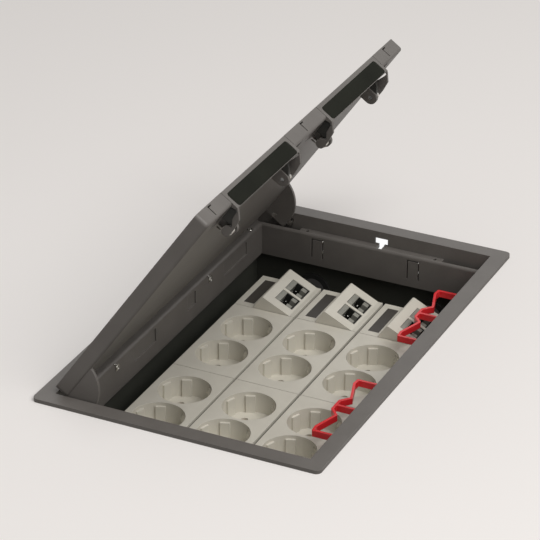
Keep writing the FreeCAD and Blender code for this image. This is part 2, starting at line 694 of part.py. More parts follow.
def build_contact_block(strip, module):
    """Insulating block under two cups, bored for the line contacts."""
    number = 2 * (strip - 1) + module + 1
    block = Piece(f"contact_block_{number}")
    left = strip_left(strip)
    start = module_start(module)
    block.box((f"{left} + block_side", f"{left} + {PLATE_WIDTH} - block_side"),
              (f"{start} + block_side", f"{start} + double_pitch - block_side"),
              (f"{CUP_FOOT} - block_height", CUP_FOOT))
    for centre in cup_centres(strip, module):
        for side in ("0", "180"):
            hole = polar(centre, "pin_spacing / 2", f"cup_turn + 90 + {side}")
            block.cylinder((*hole, f"{CUP_FOOT} - contact_length"),
                           "contact_radius + contact_gap", "contact_length + 1", cut=True)
    block.done()


def build_line_contacts(strip):
    """Brass tubes that take the pins, four to each module."""
    members = []
    for module in (0, 1):
        for cup, centre in enumerate(cup_centres(strip, module)):
            for side in ("0", "180"):
                tube = Piece(f"line_tube_{strip}_{module}_{cup}_{side}")
                spot = polar(centre, "pin_spacing / 2", f"cup_turn + 90 + {side}")
                tube.cylinder((*spot, f"{CUP_FOOT} - contact_length"), "contact_radius",
                              "contact_length")
                tube.cylinder((*spot, f"{CUP_FOOT} - contact_length + 1"), "contact_bore",
                              "contact_length", cut=True)
                members.append(tube.body)
    group(f"line_contacts_{strip}", members)


def build_earth_clips(strip):
    """Sprung earth contacts, two to each cup, bowed towards its middle."""
    members = []
    base = CUP_FOOT
    for module in (0, 1):
        for cup, centre in enumerate(cup_centres(strip, module)):
            for side in (0, 180):
                clip = Piece(f"earth_clip_{strip}_{module}_{cup}_{side}")
                back = "cup_radius + 0.3"
                bow = "cup_radius - 2.2"
                top = "(cup_depth + cup_floor - earth_drop)"
                line = [(back, "0"), (back, f"{top} * 0.35"), (bow, f"{top} * 0.7"), (back, top)]
                outer = [(f"{r} + earth_metal", h) for r, h in reversed(line)]
                clip.profile("XZ", line + outer, symmetric("earth_width / 2"))
                turn = FreeCAD.Rotation(FreeCAD.Vector(0, 0, 1), value("cup_turn") + side)
                place(clip.body, *centre, base, turn)
                members.append(clip.body)
    group(f"earth_clips_{strip}", members)


def data_span():
    """Return the Y span of the data module at the far end of a strip."""
    start = f"({STRIP_LENGTH} / 2 - data_pitch)"
    return f"{start} + module_gap / 2", f"{start} + data_pitch - module_gap / 2"


def slope_angle():
    """Return the fall of the port face in degrees."""
    return value("atan(wedge_height / (wedge_end - wedge_ridge))")


def slope_box(piece, strip, along, across, deep, cut=False):
    """Add or cut a box laid on the port face: down the slope, along Y, out of the face."""
    fall = "atan(wedge_height / (wedge_end - wedge_ridge))"
    made = piece.feature("SubtractiveBox" if cut else "AdditiveBox", "slope")
    size(made, Length=f"({along[1]}) - ({along[0]})", Width=f"({across[1]}) - ({across[0]})",
         Height=f"({deep[1]}) - ({deep[0]})")
    turn = FreeCAD.Rotation(FreeCAD.Vector(0, 1, 0), slope_angle())
    place(made, f"{strip_left(strip)} + wedge_ridge + ({along[0]}) * cos({fall})"
          f" + ({deep[0]}) * sin({fall})", across[0],
          f"{PLATE_TOP} + wedge_height - ({along[0]}) * sin({fall}) + ({deep[0]}) * cos({fall})",
          turn)
    return made


def port_middle(side):
    """Return the Y of the middle of a port: '-' for the near one, '+' for the far one."""
    return f"({STRIP_LENGTH} / 2 - data_pitch / 2 {side} port_offset)"


def wedge_corners(strip, inset):
    """Return the outline of the wedge housing, moved inwards by an inset."""
    left = strip_left(strip)
    foot = f"{PLATE_FOOT} - 1" if inset else f"{PLATE_TOP} - 1"
    return [(f"{left} + wedge_start + {inset}", foot),
            (f"{left} + wedge_end - 2.2 * {inset}", foot),
            (f"{left} + wedge_end - 2.2 * {inset}", PLATE_TOP),
            (f"{left} + wedge_ridge + 0.3 * {inset}", f"{PLATE_TOP} + wedge_height - 1.2 * {inset}"),
            (f"{left} + wedge_start + {inset}", PLATE_TOP)]


def build_data_plate(strip):
    """Data module: plate, hollow wedge with two ports in its slope, and a label recess."""
    plate = Piece(f"data_plate_{strip}")
    left = strip_left(strip)
    low, far = data_span()
    plate.box((left, f"{left} + {PLATE_WIDTH}"), (low, far), (PLATE_FOOT, PLATE_TOP))
    plate.profile("XZ", wedge_corners(strip, "0"), (low, far))
    ridge = value(f"{PLATE_TOP} + wedge_height")
    plate.blend("ridge_round", lambda e: abs(e.BoundBox.ZMin - ridge) < 0.01
                and e.BoundBox.ZLength < 0.01)
    plate.profile("XZ", wedge_corners(strip, "wedge_wall"),
                  (f"{low} + wedge_wall", f"{far} - wedge_wall"), cut=True)
    for side in "-+":
        middle = port_middle(side)
        slope_box(plate, strip, ("port_start", "port_start + port_along"),
                  (f"{middle} - port_across / 2", f"{middle} + port_across / 2"),
                  ("-wedge_wall - 4", "3"), cut=True)
    middle = f"({low} + {far}) / 2"
    plate.box((f"{left} + window_start", f"{left} + window_start + window_width"),
              (f"{middle} - window_length / 2", f"{middle} + window_length / 2"),
              (f"{PLATE_TOP} - window_depth", f"{PLATE_TOP} + 1"), cut=True)
    plate.done()


def build_label_window(strip):
    """Dark window over the label strip of a data module."""
    window = Piece(f"label_window_{strip}")
    left = strip_left(strip)
    low, far = data_span()
    middle = f"({low} + {far}) / 2"
    window.box((f"{left} + window_start + window_gap",
                f"{left} + window_start + window_width - window_gap"),
               (f"{middle} - window_length / 2 + window_gap",
                f"{middle} + window_length / 2 - window_gap"),
               (f"{PLATE_TOP} - window_depth", f"{PLATE_TOP} - 0.2"))
    window.done()


def build_jack(strip, name, side):
    """Data jack: a block with a stepped mouth for the plug and its latch."""
    jack = Piece(f"data_jack_{strip}_{name}")
    middle = port_middle(side)
    start, stop = "port_start + port_gap", "port_start + port_along - port_gap"
    half = "(port_across / 2 - port_gap)"
    slope_box(jack, strip, (start, stop), (f"{middle} - {half}", f"{middle} + {half}"),
              ("-jack_depth", "-jack_recess"))
    slope_box(jack, strip, (f"{start} + 5.2", f"{stop} - 1.4"),
              (f"{middle} - 5.9", f"{middle} + 5.9"), ("-14", "1"), cut=True)
    slope_box(jack, strip, (f"{start} + 3.4", f"{start} + 6"),
              (f"{middle} - 3.1", f"{middle} + 3.1"), ("-14", "1"), cut=True)
    jack.done()


def build_jack_contacts(strip):
    """Eight gilt contact wires across the mouth of each jack."""
    members = []
    for name, side in SIDES:
        middle = port_middle(side)
        for wire in range(8):
            pin = Piece(f"jack_wire_{strip}_{name}_{wire}")
            y = f"{middle} + ({wire} - 3.5) * 1.02"
            slope_box(pin, strip, ("port_start + port_along - port_gap - 3.2",
                                   "port_start + port_along - port_gap - 1.4"),
                      (f"{y} - 0.2", f"{y} + 0.2"), ("-13.9", "-8"))
            members.append(pin.body)
    group(f"jack_contacts_{strip}", members)


def build_earth_terminal():
    """Brass terminal block with two clamp screws on the bottom of the tub."""
    block = Piece("earth_terminal")
    block.box(("-9", "9"), (f"{TUB_Y} - 22", f"{TUB_Y} - 12"), ("tub_floor", "tub_floor + 9"))
    for x in ("-4.5", "4.5"):
        block.cylinder((x, f"{TUB_Y} - 23", "tub_floor + 4"), "1.9", "12", "Y", cut=True)
        block.cylinder((x, f"{TUB_Y} - 17", "tub_floor + 7"), "2.2", "3.4")
    block.done()


CLIP_FOOT = below("clip_drop + clip_band / 2")


def build_cable_clip(name, middle):
    """Red band that loops in front of the wall and holds the cables between its arms."""
    x_wall, reach, valley = value(INNER_X), value("clip_reach"), value("clip_valley")
    half, y = value("clip_half"), value(middle)
    front, back = x_wall - reach, x_wall - reach + valley
    run = [(x_wall, -half), (front + 0.5, -half), (front, -half + 6), (back, -13.5),
           (front + 0.5, -6.5), (front + 0.5, 6.5), (back, 13.5), (front, half - 6),
           (front + 0.5, half), (x_wall, half)]
    thick, low = value("clip_thickness"), value(CLIP_FOOT)
    arm = Part.makeBox(x_wall - front - 0.5, thick, value("clip_band"),
                       FreeCAD.Vector(front + 0.5, y - thick / 2, low))
    clip = document.addObject("Part::Feature", f"cable_clip_{name}")
    clip.Label = f"cable_clip_{name}"
    clip.Shape = band([(u, y + v) for u, v in run]).fuse(arm).removeSplitter()
    document.recompute()
    NODES.append(clip)


def band(path):
    """Return an upright band that follows a path in plan, with rounded bends."""
    low = value(CLIP_FOOT)
    wall = value(INNER_X)
    points = [FreeCAD.Vector(u, v, low) for u, v in path]
    face = Part.makePolygon(points).makeOffset2D(value("clip_thickness") / 2, 0, True)
    solid = face.extrude(FreeCAD.Vector(0, 0, value("clip_band")))
    keep = Part.makeBox(2 * wall, 1000, 100, FreeCAD.Vector(-wall, -500, low - 10))
    return solid.common(keep)


def build_lid():
    """Lid slab with a covering tray, cheeks, latch slots and lugs for the flap pins."""
    lid = Piece("lid_shell")
    half_x, half_y = f"({OPEN_X} - lid_gap)", f"({OPEN_Y} - lid_gap)"
    foot = below("ledge_drop - lid_rest_gap")
    top = high("flange_thickness")
    lid.box(symmetric(half_x), symmetric(half_y), (foot, top))
    corner = (value(half_x), value(half_y))
    lid.blend("lid_corner", lambda e: upright(e) and at_corner(e, *corner))
    level = value(foot)
    lid.blend("2.2", lambda e: abs(e.BoundBox.ZMax - level) < 0.01 and e.BoundBox.ZLength < 0.01)
    for sign in "-+":
        cut_flap_bay(lid, sign, half_x, foot, top)
        cut_pockets(lid, sign, foot)
        add_pin_lugs(lid, sign, foot)
    lid.box((f"-({half_x} - lid_rim)", f"{half_x} - tray_free_margin"),
            symmetric(f"{half_y} - lid_rim"), (f"{top} - tray_depth", f"{top} + 1"), cut=True)
    for y in (f"-{LATCH_Y}", "0", LATCH_Y):
        cut_latch(lid, y, half_x, top)
    for _, along in SIDES:
        add_cheek(lid, along, half_x, foot)
    lid.done(swing())


FLAP_PIN_X = f"({LID_FACE} - flap_pivot_x)"
FLAP_TOE_X = f"({LID_FACE} - flap_toe_x)"
FLAP_PIN_Z = below("flap_pivot_drop")


def cut_flap_bay(lid, sign, half_x, foot, top):
    """Clear the edge of the lid for a flap, leaving a round nose about its pin."""
    low, far = flap_span(sign, "flap_gap")
    lid.box((FLAP_PIN_X, f"{half_x} + 1"), (low, far), (f"{foot} - 1", f"{top} + 1"), cut=True)
    lid.cylinder((FLAP_PIN_X, low, FLAP_PIN_Z), "flap_drum - flap_gap", f"({far}) - ({low})", "Y")
    lid.box((f"{FLAP_PIN_X} - 30", f"{FLAP_PIN_X} + 30"), (low, far),
            (f"{FLAP_PIN_Z} - 30", foot), cut=True)
    lid.box((f"{FLAP_PIN_X} - 30", f"{FLAP_PIN_X} + 30"), (low, far), (top, f"{top} + 9"), cut=True)
    nose = f"{FLAP_PIN_X} + flap_drum"
    lid.profile("XZ", [(f"{nose} - nose_run", f"{foot} - 1"), (nose, f"{foot} - 1"),
                       (nose, f"{foot} + nose_rise"), (f"{nose} - nose_run", foot)],
                (low, far), cut=True)


def cut_pockets(lid, sign, foot):
    """Hollow the underside of the lid beside both ends of a flap."""
    low, far = flap_span(sign, "pocket_gap")
    for start, stop in ((f"{low} - pocket_length", low), (far, f"{far} + pocket_length")):
        lid.box((f"{LID_FACE} - pocket_stop", f"{LID_FACE} - pocket_start"), (start, stop),
                (f"{foot} - 1", f"{foot} + pocket_depth"), cut=True)


def ear_plates(sign):
    """Return the spans along Y of the outer and inner plate of both ears of a flap."""
    low, far = flap_span(sign)
    return ((low, f"{low} + ear_plate"),
            (f"{low} + flap_ear - ear_plate", f"{low} + flap_ear"),
            (f"{far} - flap_ear", f"{far} - flap_ear + ear_plate"),
            (f"{far} - ear_plate", far))


def lug_starts(sign):
    """Return where the two lugs of a flap start along Y, beside its inner ear plates."""
    low, far = flap_span(sign)
    return (f"{low} + flap_ear - ear_plate - flap_gap - lug_plate",
            f"{far} - flap_ear + ear_plate + flap_gap")


def add_pin_lugs(lid, sign, foot):
    """Hang two rounded lugs with pin holes between the ear plates of a flap."""
    for start in lug_starts(sign):
        lid.box((f"{FLAP_PIN_X} - flap_barrel - 1", f"{FLAP_PIN_X} + flap_barrel + 1"),
                (start, f"{start} + lug_plate"), (FLAP_PIN_Z, f"{foot} + 1"))
        lid.cylinder((FLAP_PIN_X, start, FLAP_PIN_Z), "flap_barrel + 1", "lug_plate", "Y")
        lid.cylinder((FLAP_PIN_X, f"{start} - 1", FLAP_PIN_Z), "flap_pin_radius", "lug_plate + 2",
                     "Y", cut=True)


def cut_latch(lid, y, half_x, top):
    """Cut a slot in the free edge and leave a tongue in it, free on two sides."""
    high_edge = f"{top} - latch_top"
    low_edge = f"{high_edge} - latch_height"
    lid.box((f"{half_x} - latch_depth", f"{half_x} + 1"),
            (f"{y} - latch_width / 2", f"{y} - latch_width / 2 + latch_cut"),
            (low_edge, high_edge), cut=True)
    lid.box((f"{half_x} - latch_depth", f"{half_x} + 1"),
            (f"{y} - latch_width / 2", f"{y} + latch_width / 2 - 1.5"),
            (f"{high_edge} - latch_cut", high_edge), cut=True)


def add_cheek(lid, along, half_x, foot):
    """Add a round cheek under the hinge end, cut off flush with the hinge edge."""
    face = f"{INNER_Y} + frame_wall + cheek_gap"
    low, far = mirrored(along, face, f"{face} + cheek_thickness")
    centre_z = below("cheek_sink")
    lid.cylinder((f"-{CHEEK_X}", low, centre_z), "cheek_radius", "cheek_thickness", "Y")
    lid.box((f"-{CHEEK_X} - cheek_radius - 1", f"-{half_x}"), (f"{low} - 1", f"{far} + 1"),
            (f"{centre_z} - cheek_radius - 1", f"{centre_z} + cheek_radius + 1"), cut=True)
    lid.box((f"-{CHEEK_X} - cheek_radius - 1", f"-{CHEEK_X} + cheek_radius + 1"),
            (f"{low} - 1", f"{far} + 1"),
            (high("flange_thickness"), f"{centre_z} + cheek_radius + 1"), cut=True)
    for track, start in (("outer_track", "outer_start"), ("inner_track", "inner_start")):
        x, z = stud_place(track, start)
        lid.cylinder((x, f"{low} - 0.5", z), "stud_radius", "cheek_thickness + 1", "Y", cut=True)


def stud_place(track, start):
    """Return the X and Z of a guide stud with the lid closed."""
    return (f"pivot_inset - frame_width / 2 + {track} * cos({start})",
            f"floor_height + pivot_rise - {track} * sin({start})")


def build_guide_studs():
    """Steel studs pressed through the cheeks into the curved grooves."""
    members = []
    face = f"{INNER_Y} + frame_wall + cheek_gap"
    for name, along in SIDES:
        low, far = mirrored(along, face, f"{OPEN_Y} + frame_wall - track_skin - 0.2")
        for track, start in (("outer_track", "outer_start"), ("inner_track", "inner_start")):
            stud = Piece(f"stud_{name}_{track}")
            x, z = stud_place(track, start)
            stud.cylinder((x, low, z), "stud_radius", f"({far}) - ({low})", "Y")
            stud.body.Placement = swing()
            members.append(stud.body)
    group("guide_studs", members)


def build_tray_plate():
    """Steel plate on the bottom of the covering tray."""
    plate = Piece("lid_tray_plate")
    half_x, half_y = f"({OPEN_X} - lid_gap)", f"({OPEN_Y} - lid_gap)"
    floor = f"{high('flange_thickness')} - tray_depth"
    plate.box((f"-({half_x} - lid_rim - tray_gap)", f"{half_x} - tray_free_margin - tray_gap"),
              symmetric(f"{half_y} - lid_rim - tray_gap"), (floor, f"{floor} + tray_plate"))
    plate.done(swing())


def build_flap(name, sign):
    """Cable flap: a quarter-round drum with a foam recess and an ear at each end for its pin."""
    flap = Piece(f"cable_flap_{name}")
    low, far = flap_span(sign)
    top = high("flange_thickness")
    lip = (LID_FACE, below("flap_lip_drop"))
    toe = (FLAP_TOE_X, below("flap_toe_drop"))
    start = f"{FLAP_PIN_X} + 2"
    flap.profile("XZ", [(LID_FACE, top), lip, (start, lip[1]), (start, top)], (low, far))
    flap.cylinder((FLAP_PIN_X, f"{low} - 1", FLAP_PIN_Z), "flap_drum",
                  f"({far}) - ({low}) + 2", "Y", cut=True)
    inner = (f"{FLAP_PIN_X} + flap_drum - 0.4", f"{FLAP_PIN_Z} + 2.8")
    web = [(LID_FACE, f"{lip[1]} + 0.5"), lip, toe, (FLAP_PIN_X, f"{FLAP_PIN_Z} - flap_barrel"),
           (FLAP_PIN_X, FLAP_PIN_Z), (f"{FLAP_TOE_X} - 2", f"{FLAP_PIN_Z} + 0.8"), inner,
           (inner[0], f"{lip[1]} + 0.5")]
    for plate in ear_plates(sign):
        flap.profile("XZ", web, plate)
        flap.cylinder((FLAP_PIN_X, plate[0], FLAP_PIN_Z), "flap_barrel", "ear_plate", "Y")
        flap.cylinder((FLAP_PIN_X, f"{plate[0]} - 1", FLAP_PIN_Z),
                      "flap_pin_radius + flap_pin_fit", "ear_plate + 2", "Y", cut=True)
    flap.box((f"{LID_FACE} - foam_thickness", f"{LID_FACE} + 1"), foam_span(sign),
             (below("flap_lip_drop - 0.4"), below("foam_top")), cut=True)
    flap.done(swing())


def foam_span(sign):
    """Return the Y span of a foam pad on its flap."""
    return flap_span(sign, "-foam_inset")


def build_flap_foam(name, sign):
    """Foam pad that presses the cables against the frame."""
    pad = Piece(f"flap_foam_{name}")
    pad.box((f"{LID_FACE} - foam_thickness", LID_FACE), foam_span(sign),
            (below("flap_lip_drop - 0.4"), below("foam_top")))
    pad.done(swing())


def build_flap_pins():
    """Short steel pins through the lugs, one in each ear of a flap."""
    members = []
    for name, sign in SIDES:
        plates = ear_plates(sign)
        for number, (first, last) in enumerate((plates[:2], plates[2:]), start=1):
            pin = Piece(f"flap_pin_{name}_{number}")
            pin.cylinder((FLAP_PIN_X, first[0], FLAP_PIN_Z), "flap_pin_radius",
                         f"({last[1]}) - ({first[0]})", "Y")
            pin.body.Placement = swing()
            members.append(pin.body)
    group("flap_pins", members)


def build_flap_springs(name, sign):
    """Torsion springs that close a flap, drawn as sleeves with one leg each."""
    members = []
    low, far = flap_span(sign)
    length = "(flap_ear - 2 * ear_plate - flap_gap - lug_plate - 2 * spring_gap)"
    starts = (f"{low} + ear_plate + spring_gap", f"{far} - ear_plate - spring_gap - {length}")
    for number, start in enumerate(starts, start=1):
        spring = Piece(f"spring_{name}_{number}")
        spring.cylinder((FLAP_PIN_X, start, FLAP_PIN_Z), "spring_radius + spring_wire", length,
                        "Y")
        spring.cylinder((FLAP_PIN_X, f"{start} - 1", FLAP_PIN_Z), "spring_radius - spring_wire",
                        f"{length} + 2", "Y", cut=True)
        spring.box((f"{FLAP_PIN_X} - spring_radius - spring_wire",
                    f"{FLAP_PIN_X} - spring_radius + spring_wire"),
                   (start, f"{start} + 2 * spring_wire"),
                   (FLAP_PIN_Z, below("ledge_drop - lid_rest_gap")))
        spring.body.Placement = swing()
        members.append(spring.body)
    group(f"flap_springs_{name}", members)


def build_all():
    """Build every piece of the box, from the tub upwards."""
    build_tub()
    build_grommets()
    build_earth_terminal()
    build_rails()
    build_carriers()
    for strip in STRIPS:
        for module in (0, 1):
            build_socket_plate(strip, module)
            build_contact_block(strip, module)
        build_line_contacts(strip)
        build_earth_clips(strip)
        build_data_plate(strip)
        build_label_window(strip)
        for name, side in SIDES:
            build_jack(strip, name, side)
        build_jack_contacts(strip)
    build_frame()
    build_frame_screws()
    build_spring_clips()
    build_cable_clip("near", f"clip_near_y - {OPEN_Y}")
    build_cable_clip("far", f"{OPEN_Y} - clip_far_y")
    build_lid()
    build_tray_plate()
    build_guide_studs()
    build_flap_pins()
    for name, sign in SIDES:
        build_flap(name, sign)
        build_flap_foam(name, sign)
        build_flap_springs(name, sign)


def check():
    """Stop if any object failed or any node has no valid solid."""
    for item in document.Objects:
        if "Invalid" in item.State or "Error" in item.State:
            raise RuntimeError(f"{item.Name} is {item.State}")
    for node in NODES:
        shape = node.Shape
        if shape.isNull() or not shape.isValid() or not shape.Solids:
            raise RuntimeError(f"{node.Label} has no valid solid")


def export():
    """Write each node to parts/NODE.step."""
    os.makedirs("parts", exist_ok=True)
    for node in NODES:
        node.Shape.exportStep(f"parts/{node.Label}.step")
        box = node.Shape.BoundBox
        print(f"{node.Label}: {len(node.Shape.Solids)} solid(s), "
              f"{box.XMin:.1f} {box.YMin:.1f} {box.ZMin:.1f} to "
              f"{box.XMax:.1f} {box.YMax:.1f} {box.ZMax:.1f}")


write_sheet()
build_all()
document.recompute()
check()
export()
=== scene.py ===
"""Looks of the floor socket box: finishes, small made pieces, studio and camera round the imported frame."""

from __future__ import annotations

import json
import logging
import math
from dataclasses import dataclass, field
from enum import Enum
from typing import Callable

import bmesh
import bpy
from mathutils import Matrix, Vector


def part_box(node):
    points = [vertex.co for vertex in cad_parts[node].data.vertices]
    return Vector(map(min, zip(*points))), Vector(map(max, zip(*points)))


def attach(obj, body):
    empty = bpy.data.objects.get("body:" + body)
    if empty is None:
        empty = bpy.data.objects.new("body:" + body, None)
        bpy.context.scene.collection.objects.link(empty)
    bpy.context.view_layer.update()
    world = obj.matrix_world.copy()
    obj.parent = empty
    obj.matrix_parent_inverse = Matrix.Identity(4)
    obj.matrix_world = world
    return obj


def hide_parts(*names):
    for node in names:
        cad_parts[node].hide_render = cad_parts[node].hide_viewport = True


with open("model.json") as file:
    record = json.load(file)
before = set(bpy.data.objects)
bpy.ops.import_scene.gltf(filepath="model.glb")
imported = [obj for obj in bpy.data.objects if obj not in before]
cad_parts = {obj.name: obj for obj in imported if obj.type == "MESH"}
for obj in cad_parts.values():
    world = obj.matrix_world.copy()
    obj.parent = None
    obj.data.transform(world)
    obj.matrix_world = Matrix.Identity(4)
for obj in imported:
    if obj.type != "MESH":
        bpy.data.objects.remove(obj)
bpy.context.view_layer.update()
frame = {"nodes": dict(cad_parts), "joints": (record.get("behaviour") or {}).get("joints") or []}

LOG = logging.getLogger("floor_box")
MM = 0.001
FLOOR_LEVEL = 0.090

# How every finish is drawn: grains across one darker patch, detail of the patches and of the grain, noise
# levels between which the two tones mix, scale of the pattern along its drawn-out lines, samples of a
# softened edge, the cosines between which an edge goes from painted highlight to plain, and strength of the
# relief.
CLOUD_GRAINS = 40
CLOUD_DETAIL = 3.0
GRAIN_DETAIL = 2.0
TONE_SPAN = (0.35, 0.65)
LONG_GRAIN = 0.06
EDGE_SAMPLES = 4
EDGE_HIGHLIGHT_SPAN = (0.82, 0.98)
RELIEF_STRENGTH = 0.35

# Points of an outline, as two measures each.
Outline = tuple[tuple[float, float], ...]


def linear(hex_code: str) -> tuple[float, float, float, float]:
    """Turn an sRGB hex colour into linear light.

    Args:
        hex_code: the colour, such as "6b6661".

    Returns:
        Red, green, blue and an alpha of one.
    """
    channels = [int(hex_code[start:start + 2], 16) / 255 for start in (0, 2, 4)]
    light = [c / 12.92 if c <= 0.04045 else ((c + 0.055) / 1.055) ** 2.4 for c in channels]
    return (light[0], light[1], light[2], 1.0)


def per_metre(millimetres: float) -> float:
    """Return the texture scale whose pattern repeats about once in this many millimetres."""
    return 1 / (millimetres * MM)


def add_node(tree: bpy.types.NodeTree, kind: str, settings: dict | None = None,
             links: dict | None = None) -> bpy.types.Node:
    """Add a shader node, set it up and link its inputs.

    Args:
        tree: the node tree of a material or world.
        kind: the node's type name after "ShaderNode".
        settings: attributes by name, or input values by socket name or number.
        links: output sockets by the input socket that they feed.

    Returns:
        The new node.
    """
    made = tree.nodes.new(f"ShaderNode{kind}")
    for key, value in (settings or {}).items():
        if isinstance(key, str) and hasattr(made, key):
            setattr(made, key, value)
        else:
            made.inputs[key].default_value = value
    for key, output in (links or {}).items():
        tree.links.new(output, made.inputs[key])
    return made


class Texture(Enum):
    """How a surface was left by its making."""

    SPARK_ERODED = "spark eroded mould"
    POLISHED_MOULD = "polished mould"
    ROLLED_SHEET = "rolled sheet"
    DRAWN_WIRE = "drawn wire"
    SKIVED_FOAM = "skived foam"
    POWDER = "powder coat"


@dataclass(frozen=True)
class Finish:
    """A material with its colour, gloss and surface grain.

    Attributes:
        name: plain name of the material and how its surface was made.
        colour: sRGB hex colour of the body of the material.
        shade: sRGB hex colour of its slightly darker patches.
        texture: how the surface was left.
        roughness: roughness of the surface.
        grain: spacing of the surface grain in millimetres.
        relief: height of the grain in millimetres.
        metallic: one for a bare metal.
        ior: index of refraction.
        coat: weight of a clear coat.
        edge: radius of its softened edges in millimetres.
        spread: how far the roughness varies up and down.
        edge_highlight: sRGB hex colour of the painted highlight along its edges, or nothing for the plain
            colour.
        edge_highlight_weight: how strongly the painted highlight shows at the edges.
    """

    name: str
    colour: str
    shade: str
    texture: Texture
    roughness: float
    grain: float
    relief: float = 0.01
    metallic: float = 0.0
    ior: float = 1.5
    coat: float = 0.0
    edge: float = 0.3
    spread: float = 0.05
    edge_highlight: str = ""
    edge_highlight_weight: float = 0.4

    def material(self) -> bpy.types.Material:
        """Return the material, built once and then shared."""
        found = bpy.data.materials.get(self.name)
        return found or self.build()

    def stretch(self) -> tuple[float, float, float]:
        """Return how far the grain is drawn out along each axis."""
        long_grain = self.texture in (Texture.ROLLED_SHEET, Texture.DRAWN_WIRE)
        return (1.0, LONG_GRAIN, 1.0) if long_grain else (1.0, 1.0, 1.0)

    def build(self) -> bpy.types.Material:
        """Build the node tree: two mixed tones, a painted highlight along the edges, grain in the gloss and
        in the relief.

        Returns:
            The new material.
        """
        made = bpy.data.materials.new(self.name)
        made.use_nodes = True
        tree = made.node_tree
        tree.nodes.clear()
        place = add_node(tree, "TexCoord")
        drawn = add_node(tree, "Mapping", {"Scale": self.stretch()}, {"Vector": place.outputs["Object"]})
        cloud = add_node(tree, "TexNoise",
                         {"Scale": per_metre(self.grain * CLOUD_GRAINS), "Detail": CLOUD_DETAIL},
                         {"Vector": drawn.outputs[0]})
        grain = add_node(tree, "TexNoise", {"Scale": per_metre(self.grain), "Detail": GRAIN_DETAIL},
                         {"Vector": drawn.outputs[0]})
        tone = add_node(tree, "MapRange", {"From Min": TONE_SPAN[0], "From Max": TONE_SPAN[1]},
                        {"Value": cloud.outputs[0]})
        mixed = add_node(tree, "Mix", {"data_type": "RGBA", 6: linear(self.colour), 7: linear(self.shade)},
                         {0: tone.outputs[0]})
        gloss = add_node(tree, "MapRange", {"To Min": self.roughness - self.spread,
                                            "To Max": self.roughness + self.spread},
                         {"Value": grain.outputs[0]})
        soft = add_node(tree, "Bevel", {"samples": EDGE_SAMPLES, "Radius": self.edge * MM})
        flat = add_node(tree, "NewGeometry")
        # Painted highlight: at the edges, where the softened normal turns away from the flat one, the colour
        # is mixed towards a lighter one.
        turned = add_node(tree, "VectorMath", {"operation": "DOT_PRODUCT"},
                          {0: soft.outputs[0], 1: flat.outputs["Normal"]})
        at_edge = add_node(tree, "MapRange", {"From Min": EDGE_HIGHLIGHT_SPAN[0], "From Max": EDGE_HIGHLIGHT_SPAN[1],
                                              "To Min": self.edge_highlight_weight, "To Max": 0.0},
                           {"Value": turned.outputs["Value"]})
        edge_lit = add_node(tree, "Mix", {"data_type": "RGBA", 7: linear(self.edge_highlight or self.colour)},
                        {0: at_edge.outputs[0], 6: mixed.outputs[2]})
        raised = add_node(tree, "Bump", {"Strength": RELIEF_STRENGTH, "Distance": self.relief * MM},
                          {"Height": grain.outputs[0], "Normal": soft.outputs[0]})
        settings = {"Metallic": self.metallic, "Coat Weight": self.coat}
        if not self.metallic:
            settings["IOR"] = self.ior
        surface = add_node(tree, "BsdfPrincipled", settings,
                           {"Base Color": edge_lit.outputs[2], "Roughness": gloss.outputs[0],
                            "Normal": raised.outputs[0]})
        add_node(tree, "OutputMaterial", None, {"Surface": surface.outputs[0]})
        return made


# The grain of moulded, rolled and drawn surfaces is drawn coarser than the real one, which is a tenth of a
# millimetre or finer, so that it still shows at the size of the render.

# Glass-filled polyamide from a spark-eroded mould: an even matt grey with a faint cloud in it, and a lighter
# painted highlight along its edges.
FRAME_POLYAMIDE = Finish("frame polyamide, spark eroded", "696561", "64605c", Texture.SPARK_ERODED,
                         0.48, 0.5, 0.012, edge=0.5, edge_highlight="8f8a85", edge_highlight_weight=0.5)
# Powder-coated sheet steel: greenish black with an orange-peel skin that only shows in highlights. Its edges
# get a lighter painted highlight.
TUB_POWDER = Finish("black powder coat on sheet steel", "3f403a", "383933", Texture.POWDER, 0.55, 1.2, 0.03,
                    edge_highlight="4c4d46")
# Black coat on sheet steel, darker than the tub's, with a lighter painted highlight along its edges. The
# lid's web and lugs and the floor under the tub are drawn with it too, as painted shade where no light
# reaches.
RAIL_COAT_AND_SHADE = Finish("black coat on rolled sheet, also painted shade", "2b2b27", "252521", Texture.POWDER, 0.5, 1.0, 0.02,
                   edge_highlight="4a4a44")
# Zinc-plated sheet: pale blue-grey metal with long rolling lines.
ZINC_SHEET = Finish("zinc plated rolled sheet", "a4a7a8", "96999b", Texture.ROLLED_SHEET, 0.38, 0.4,
                    0.004, metallic=1.0)
# Polycarbonate blend from a fine satin mould: pale warm grey, with a lighter painted highlight along its
# edges.
PLATE_BLEND = Finish("plate polycarbonate, satin", "d3cfc3", "cecabe", Texture.SPARK_ERODED, 0.42, 0.4,
                     0.006, edge=0.5, edge_highlight="e9e6dc", edge_highlight_weight=0.6)
# Urea insulating block: plain black, a little shiny.
BLOCK_BLACK = Finish("insulating block, moulded", "24241f", "20201c", Texture.POLISHED_MOULD, 0.4, 0.6)
# Nickel-plated spring steel: bright with narrow highlights. The data jacks' wires are drawn with it too.
SPRING_STEEL = Finish("spring steel, nickel plated", "cfcdc8", "bdbbb6", Texture.DRAWN_WIRE, 0.2, 0.3,
                      0.002, metallic=1.0, edge=0.1)
# Plain brass contact tubes.
CONTACT_BRASS = Finish("contact brass, turned", "b08d57", "a27f4a", Texture.DRAWN_WIRE, 0.3, 0.3, 0.002,
                       metallic=1.0, edge=0.15)
# Smoked acrylic cover over a label strip: dark, with a satin face and fine lines along it.
SMOKED_ACRYLIC = Finish("label cover, smoked acrylic", "46423c", "3b3732", Texture.ROLLED_SHEET, 0.42, 1.6,
                        0.01, edge=0.4)
